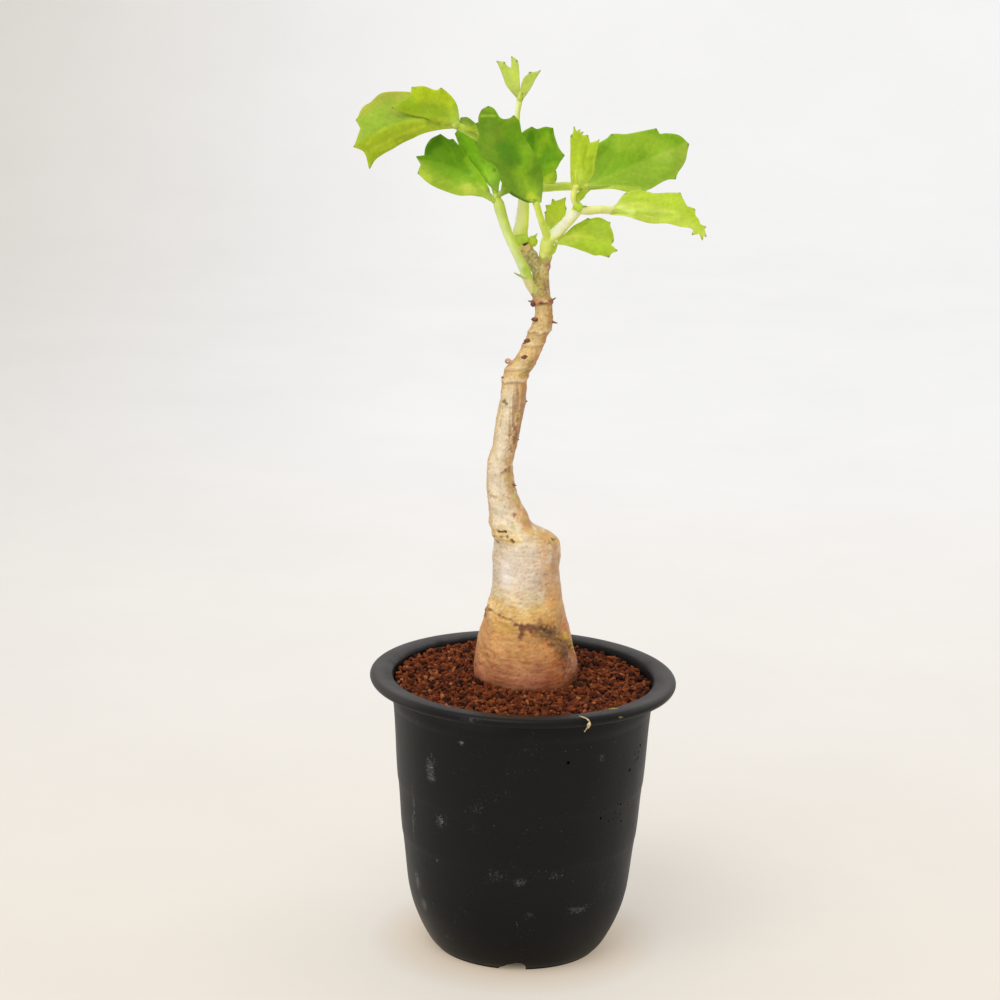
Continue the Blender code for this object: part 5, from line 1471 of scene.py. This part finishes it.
def pot():
    rings = [circle(radius, height, POT_SIDES) for radius, height in pot_profile()]
    points, faces = skin(rings, closed=True)
    shape = Shape()
    shape.add(leaning(points), faces, CHARCOAL)
    piece = shape.build("pot_fine", plastic("pot_plastic"), sharp=POT_SHARP)
    cut(piece, pot_cutters())
    piece.data.set_sharp_from_angle(angle=math.radians(POT_SHARP))
    points = np.empty(3 * len(piece.data.vertices))
    piece.data.vertices.foreach_get("co", points)
    points = points.reshape(-1, 3) / MM
    paint(piece.data, np.hstack([pot_tints(points), dust_and_sheen_on(points)[:, None]]))
    own(piece, "pot")


def specks(name, rows, tint, surface, seed, proud):
    """Small thin crusts on the pot's wall, scattered round the places in rows."""
    draw = np.random.default_rng(seed)
    shape = Shape()
    for degrees, height, round_spread, up_spread, count, least, most in rows:
        for _ in range(count):
            up = height + up_spread * np.clip(draw.normal(0, 0.55), -1, 1)
            radius = wall_radius(up)
            angle = math.radians(degrees) + round_spread * np.clip(draw.normal(0, 0.55), -1, 1) / radius
            size = least + (most - least) * draw.random() ** 2.2
            angles = turns(SPECK_SIDES) + draw.uniform(0, 1)
            reach = size * (1 + draw.uniform(-0.35, 0.35, SPECK_SIDES))
            across = reach * np.cos(angles) * draw.uniform(0.6, 1.2)
            rise = reach * np.sin(angles) * draw.uniform(0.6, 1.4)
            rings = []
            for grow, out in ((1, -0.1), (0.75, proud)):
                heights = up + rise * grow
                radii = wall_radius(heights) + out
                around = angle + across * grow / radius
                rings.append(np.stack([radii * np.cos(around), radii * np.sin(around), heights], axis=1))
            shape.add(*skin(rings), np.array(tint) * draw.uniform(0.35, 1.1))
    own(shape.build(name, surface, sharp=80), "pot")


def rim_debris():
    """A dried shred that hangs over the lip, and two crusts on it."""
    shape = Shape()
    for k, string in enumerate(SHRED):
        points, faces, _ = tube(string, 8, 5, round_end=True, rough=0.3, seed=k)
        shape.add(points, faces, SHRED_TINT * (1 + 0.25 * ripple(points, 1, k))[:, None])
    shape.add(*blob((30.4, -36, 97.3), (1.6, 0.8, 0.22), seed=80, rough=0.3), (0.38, 0.32, 0.08))
    shape.add(*blob((32, -41.2, 96.2), (1, 0.5, 0.3), seed=82, rough=0.3), (0.16, 0.14, 0.06))
    own(shape.build("rim_debris", crust("dried_shred", 0.8)), "pot")


# Soil

GRAIN_STEP = 1.55
LOOSE_GRAINS = 420
SOIL_GAP = 0.3
# The caudex's middle at the soil
STEM_X, STEM_Y = 1, 6
# The bed is near black: painted shade for the deep gaps between the grains.
BED_SHADE = (0.025, 0.009, 0.005)
BED_SIDES = 96
GRAIN_TINTS = np.array([
    (0.155, 0.036, 0.011), (0.23, 0.058, 0.016), (0.095, 0.022, 0.008), (0.36, 0.12, 0.042),
    (0.04, 0.012, 0.007),
])
GRAIN_ODDS = [0.34, 0.25, 0.21, 0.03, 0.17]


def soil_height(x, y):
    return SOIL_Z - 0.02 * x + 0.018 * y + bell(np.hypot(x - STEM_X, y - STEM_Y), 26)


def soil_bed(surface, edge):
    bottom = PLATE_Z + WALL + SOIL_GAP
    rings = [circle(wall_radius(bottom) - 4, bottom, BED_SIDES)]
    for height in (20, 45, 70, 88):
        rings.append(circle(wall_radius(height) - WALL - SOIL_GAP, height, BED_SIDES))
    for radius in (edge, edge - 3, 34, 24, 12, 1):
        x, y, _ = circle(radius, 0, BED_SIDES).T
        rings.append(np.stack([x, y, soil_height(x, y) - 1], axis=1))
    shape = Shape()
    shape.add(*skin(rings), BED_SHADE)
    own(shape.build("soil_bed", surface), "soil")


def grain_places(draw, edge):
    """An even, shaken layer of grains, and loose ones on top of it: x, y and lift."""
    places = []
    row_step = GRAIN_STEP * math.sqrt(3) / 2
    reach = int(edge / row_step) + 1
    for row in range(-reach, reach + 1):
        for column in range(-reach, reach + 1):
            x = (column + 0.5 * (row % 2)) * GRAIN_STEP + draw.uniform(-0.45, 0.45)
            y = row * row_step + draw.uniform(-0.45, 0.45)
            stem = math.hypot((x - STEM_X) / 18.3, (y - STEM_Y) / 17.6)
            if math.hypot(x, y) < edge - 0.6 and stem > 0.97:
                places.append((x, y, draw.uniform(-0.45, 0.4)))
    for _ in range(LOOSE_GRAINS):
        away, angle = (edge - 1.4) * math.sqrt(draw.random()), draw.uniform(0, 2 * math.pi)
        x, y = away * math.cos(angle), away * math.sin(angle)
        if math.hypot((x - STEM_X) / 19.4, (y - STEM_Y) / 18.8) > 1:
            places.append((x, y, draw.uniform(0.55, 1)))
    return places


def ball():
    """Points and faces of a small round form."""
    form = bmesh.new()
    bmesh.ops.create_icosphere(form, subdivisions=2, radius=1)
    points = np.array([tuple(v.co) for v in form.verts])
    faces = [tuple(v.index for v in face.verts) for face in form.faces]
    form.free()
    return points, faces


def soil():
    """A bed painted dark as the shade deep between the grains, and on it loose baked-clay grains."""
    surface = clay("baked_clay")
    edge = wall_radius(SOIL_Z) - WALL - SOIL_GAP
    soil_bed(surface, edge)
    draw = np.random.default_rng(77)
    unit, faces = ball()
    halves = (Shape(), Shape())
    for x, y, lift in grain_places(draw, edge):
        size = GRAIN_STEP * draw.uniform(0.38, 0.72)
        sizes = size * np.array([draw.uniform(0.9, 1.45), draw.uniform(0.7, 1), draw.uniform(0.55, 0.9)])
        way = Vector(draw.normal(size=3)).normalized()
        turn = np.array(Matrix.Rotation(draw.uniform(0, 6.28), 3, way))
        form = unit * (1 + 0.3 * ripple(unit, 1.5, int(draw.integers(1e6)), 5))[:, None] * sizes
        centre = np.array([x, y, soil_height(x, y) - 0.15 + lift])
        tint = GRAIN_TINTS[draw.choice(5, p=GRAIN_ODDS)] * draw.uniform(0.8, 1.2)
        halves[int(y > 0)].add(form @ turn.T + centre, faces, tint)
    for side, shape in zip(("front", "back"), halves):
        own(shape.build("soil_grains_" + side, surface, sharp=75), "soil")


# Studio

FLOOR_HALF_WIDTH = 3000
FLOOR_NEAR_END = -7000
FLOOR_FAR_END = 1100
CURVE_RADIUS = 700
WALL_TOP = 3000


def stage():
    """A pale floor that curves up into a white wall."""
    curve = [(y, 0) for y in (FLOOR_NEAR_END, -600, 0, 500, FLOOR_FAR_END)]
    for t in np.linspace(0.1, math.pi / 2, 14):
        curve.append((FLOOR_FAR_END + CURVE_RADIUS * math.sin(t), CURVE_RADIUS - CURVE_RADIUS * math.cos(t)))
    curve.append((FLOOR_FAR_END + CURVE_RADIUS, WALL_TOP))
    points = [(x * MM, y * MM, z * MM) for y, z in curve for x in (-FLOOR_HALF_WIDTH, FLOOR_HALF_WIDTH)]
    faces = [(2 * k, 2 * k + 1, 2 * k + 3, 2 * k + 2) for k in range(len(curve) - 1)]
    data = bpy.data.meshes.new("floor")
    data.from_pydata(points, [], faces)
    data.shade_smooth()
    data.materials.append(matte_floor())
    floor = placed("floor", data)


def softbox(name, place, target, size, watts):
    data = bpy.data.lights.new(name, "AREA")
    data.shape = "RECTANGLE"
    data.size, data.size_y = size
    data.energy = watts
    lamp = placed(name, data)
    lamp.location = Vector(place)
    lamp.rotation_euler = (Vector(target) - Vector(place)).to_track_quat("-Z", "Y").to_euler()


def studio():
    world = bpy.data.worlds.new("studio")
    world.use_nodes = True
    sky = world.node_tree.nodes["Background"]
    sky.inputs["Color"].default_value = (1, 0.985, 0.96, 1)
    sky.inputs["Strength"].default_value = 0.64
    bpy.context.scene.world = world
    softbox("key", (-0.64, -1.08, 1.72), (0, 0, 0.15), (1.4, 1.4), 20)
    softbox("wall", (0.3, 0.4, 1.6), (0.3, 1.8, 0.6), (2.4, 1.2), 8)
    bpy.context.scene.view_settings.view_transform = "Standard"


def camera():
    pitch, roll = math.radians(CAMERA_PITCH), math.radians(CAMERA_ROLL)
    forward = Vector((0, math.cos(pitch), -math.sin(pitch)))
    level, rise = Vector((1, 0, 0)), Vector((0, math.sin(pitch), math.cos(pitch)))
    right = level * math.cos(roll) + rise * math.sin(roll)
    up = rise * math.cos(roll) - level * math.sin(roll)
    data = bpy.data.cameras.new("camera")
    data.sensor_width = 36
    data.lens = CAMERA_LENS
    data.clip_end = 20
    eye = placed("camera", data)
    turn = Matrix((right, up, -forward)).transposed().to_4x4()
    eye.matrix_world = Matrix.Translation(Vector(CAMERA) * MM) @ turn
    bpy.context.scene.camera = eye


camera()
studio()
stage()
pot()
specks("pot_chalk", CHALK, (0.24, 0.24, 0.23), crust("chalk", 0.85), 5, 0.02)
specks("pot_wet_spots", WET, (0.0012, 0.0012, 0.0012), crust("wet_spots", 0.95, 0), 6, 0.015)
rim_debris()
soil()
woody()
shoots()
leaves()
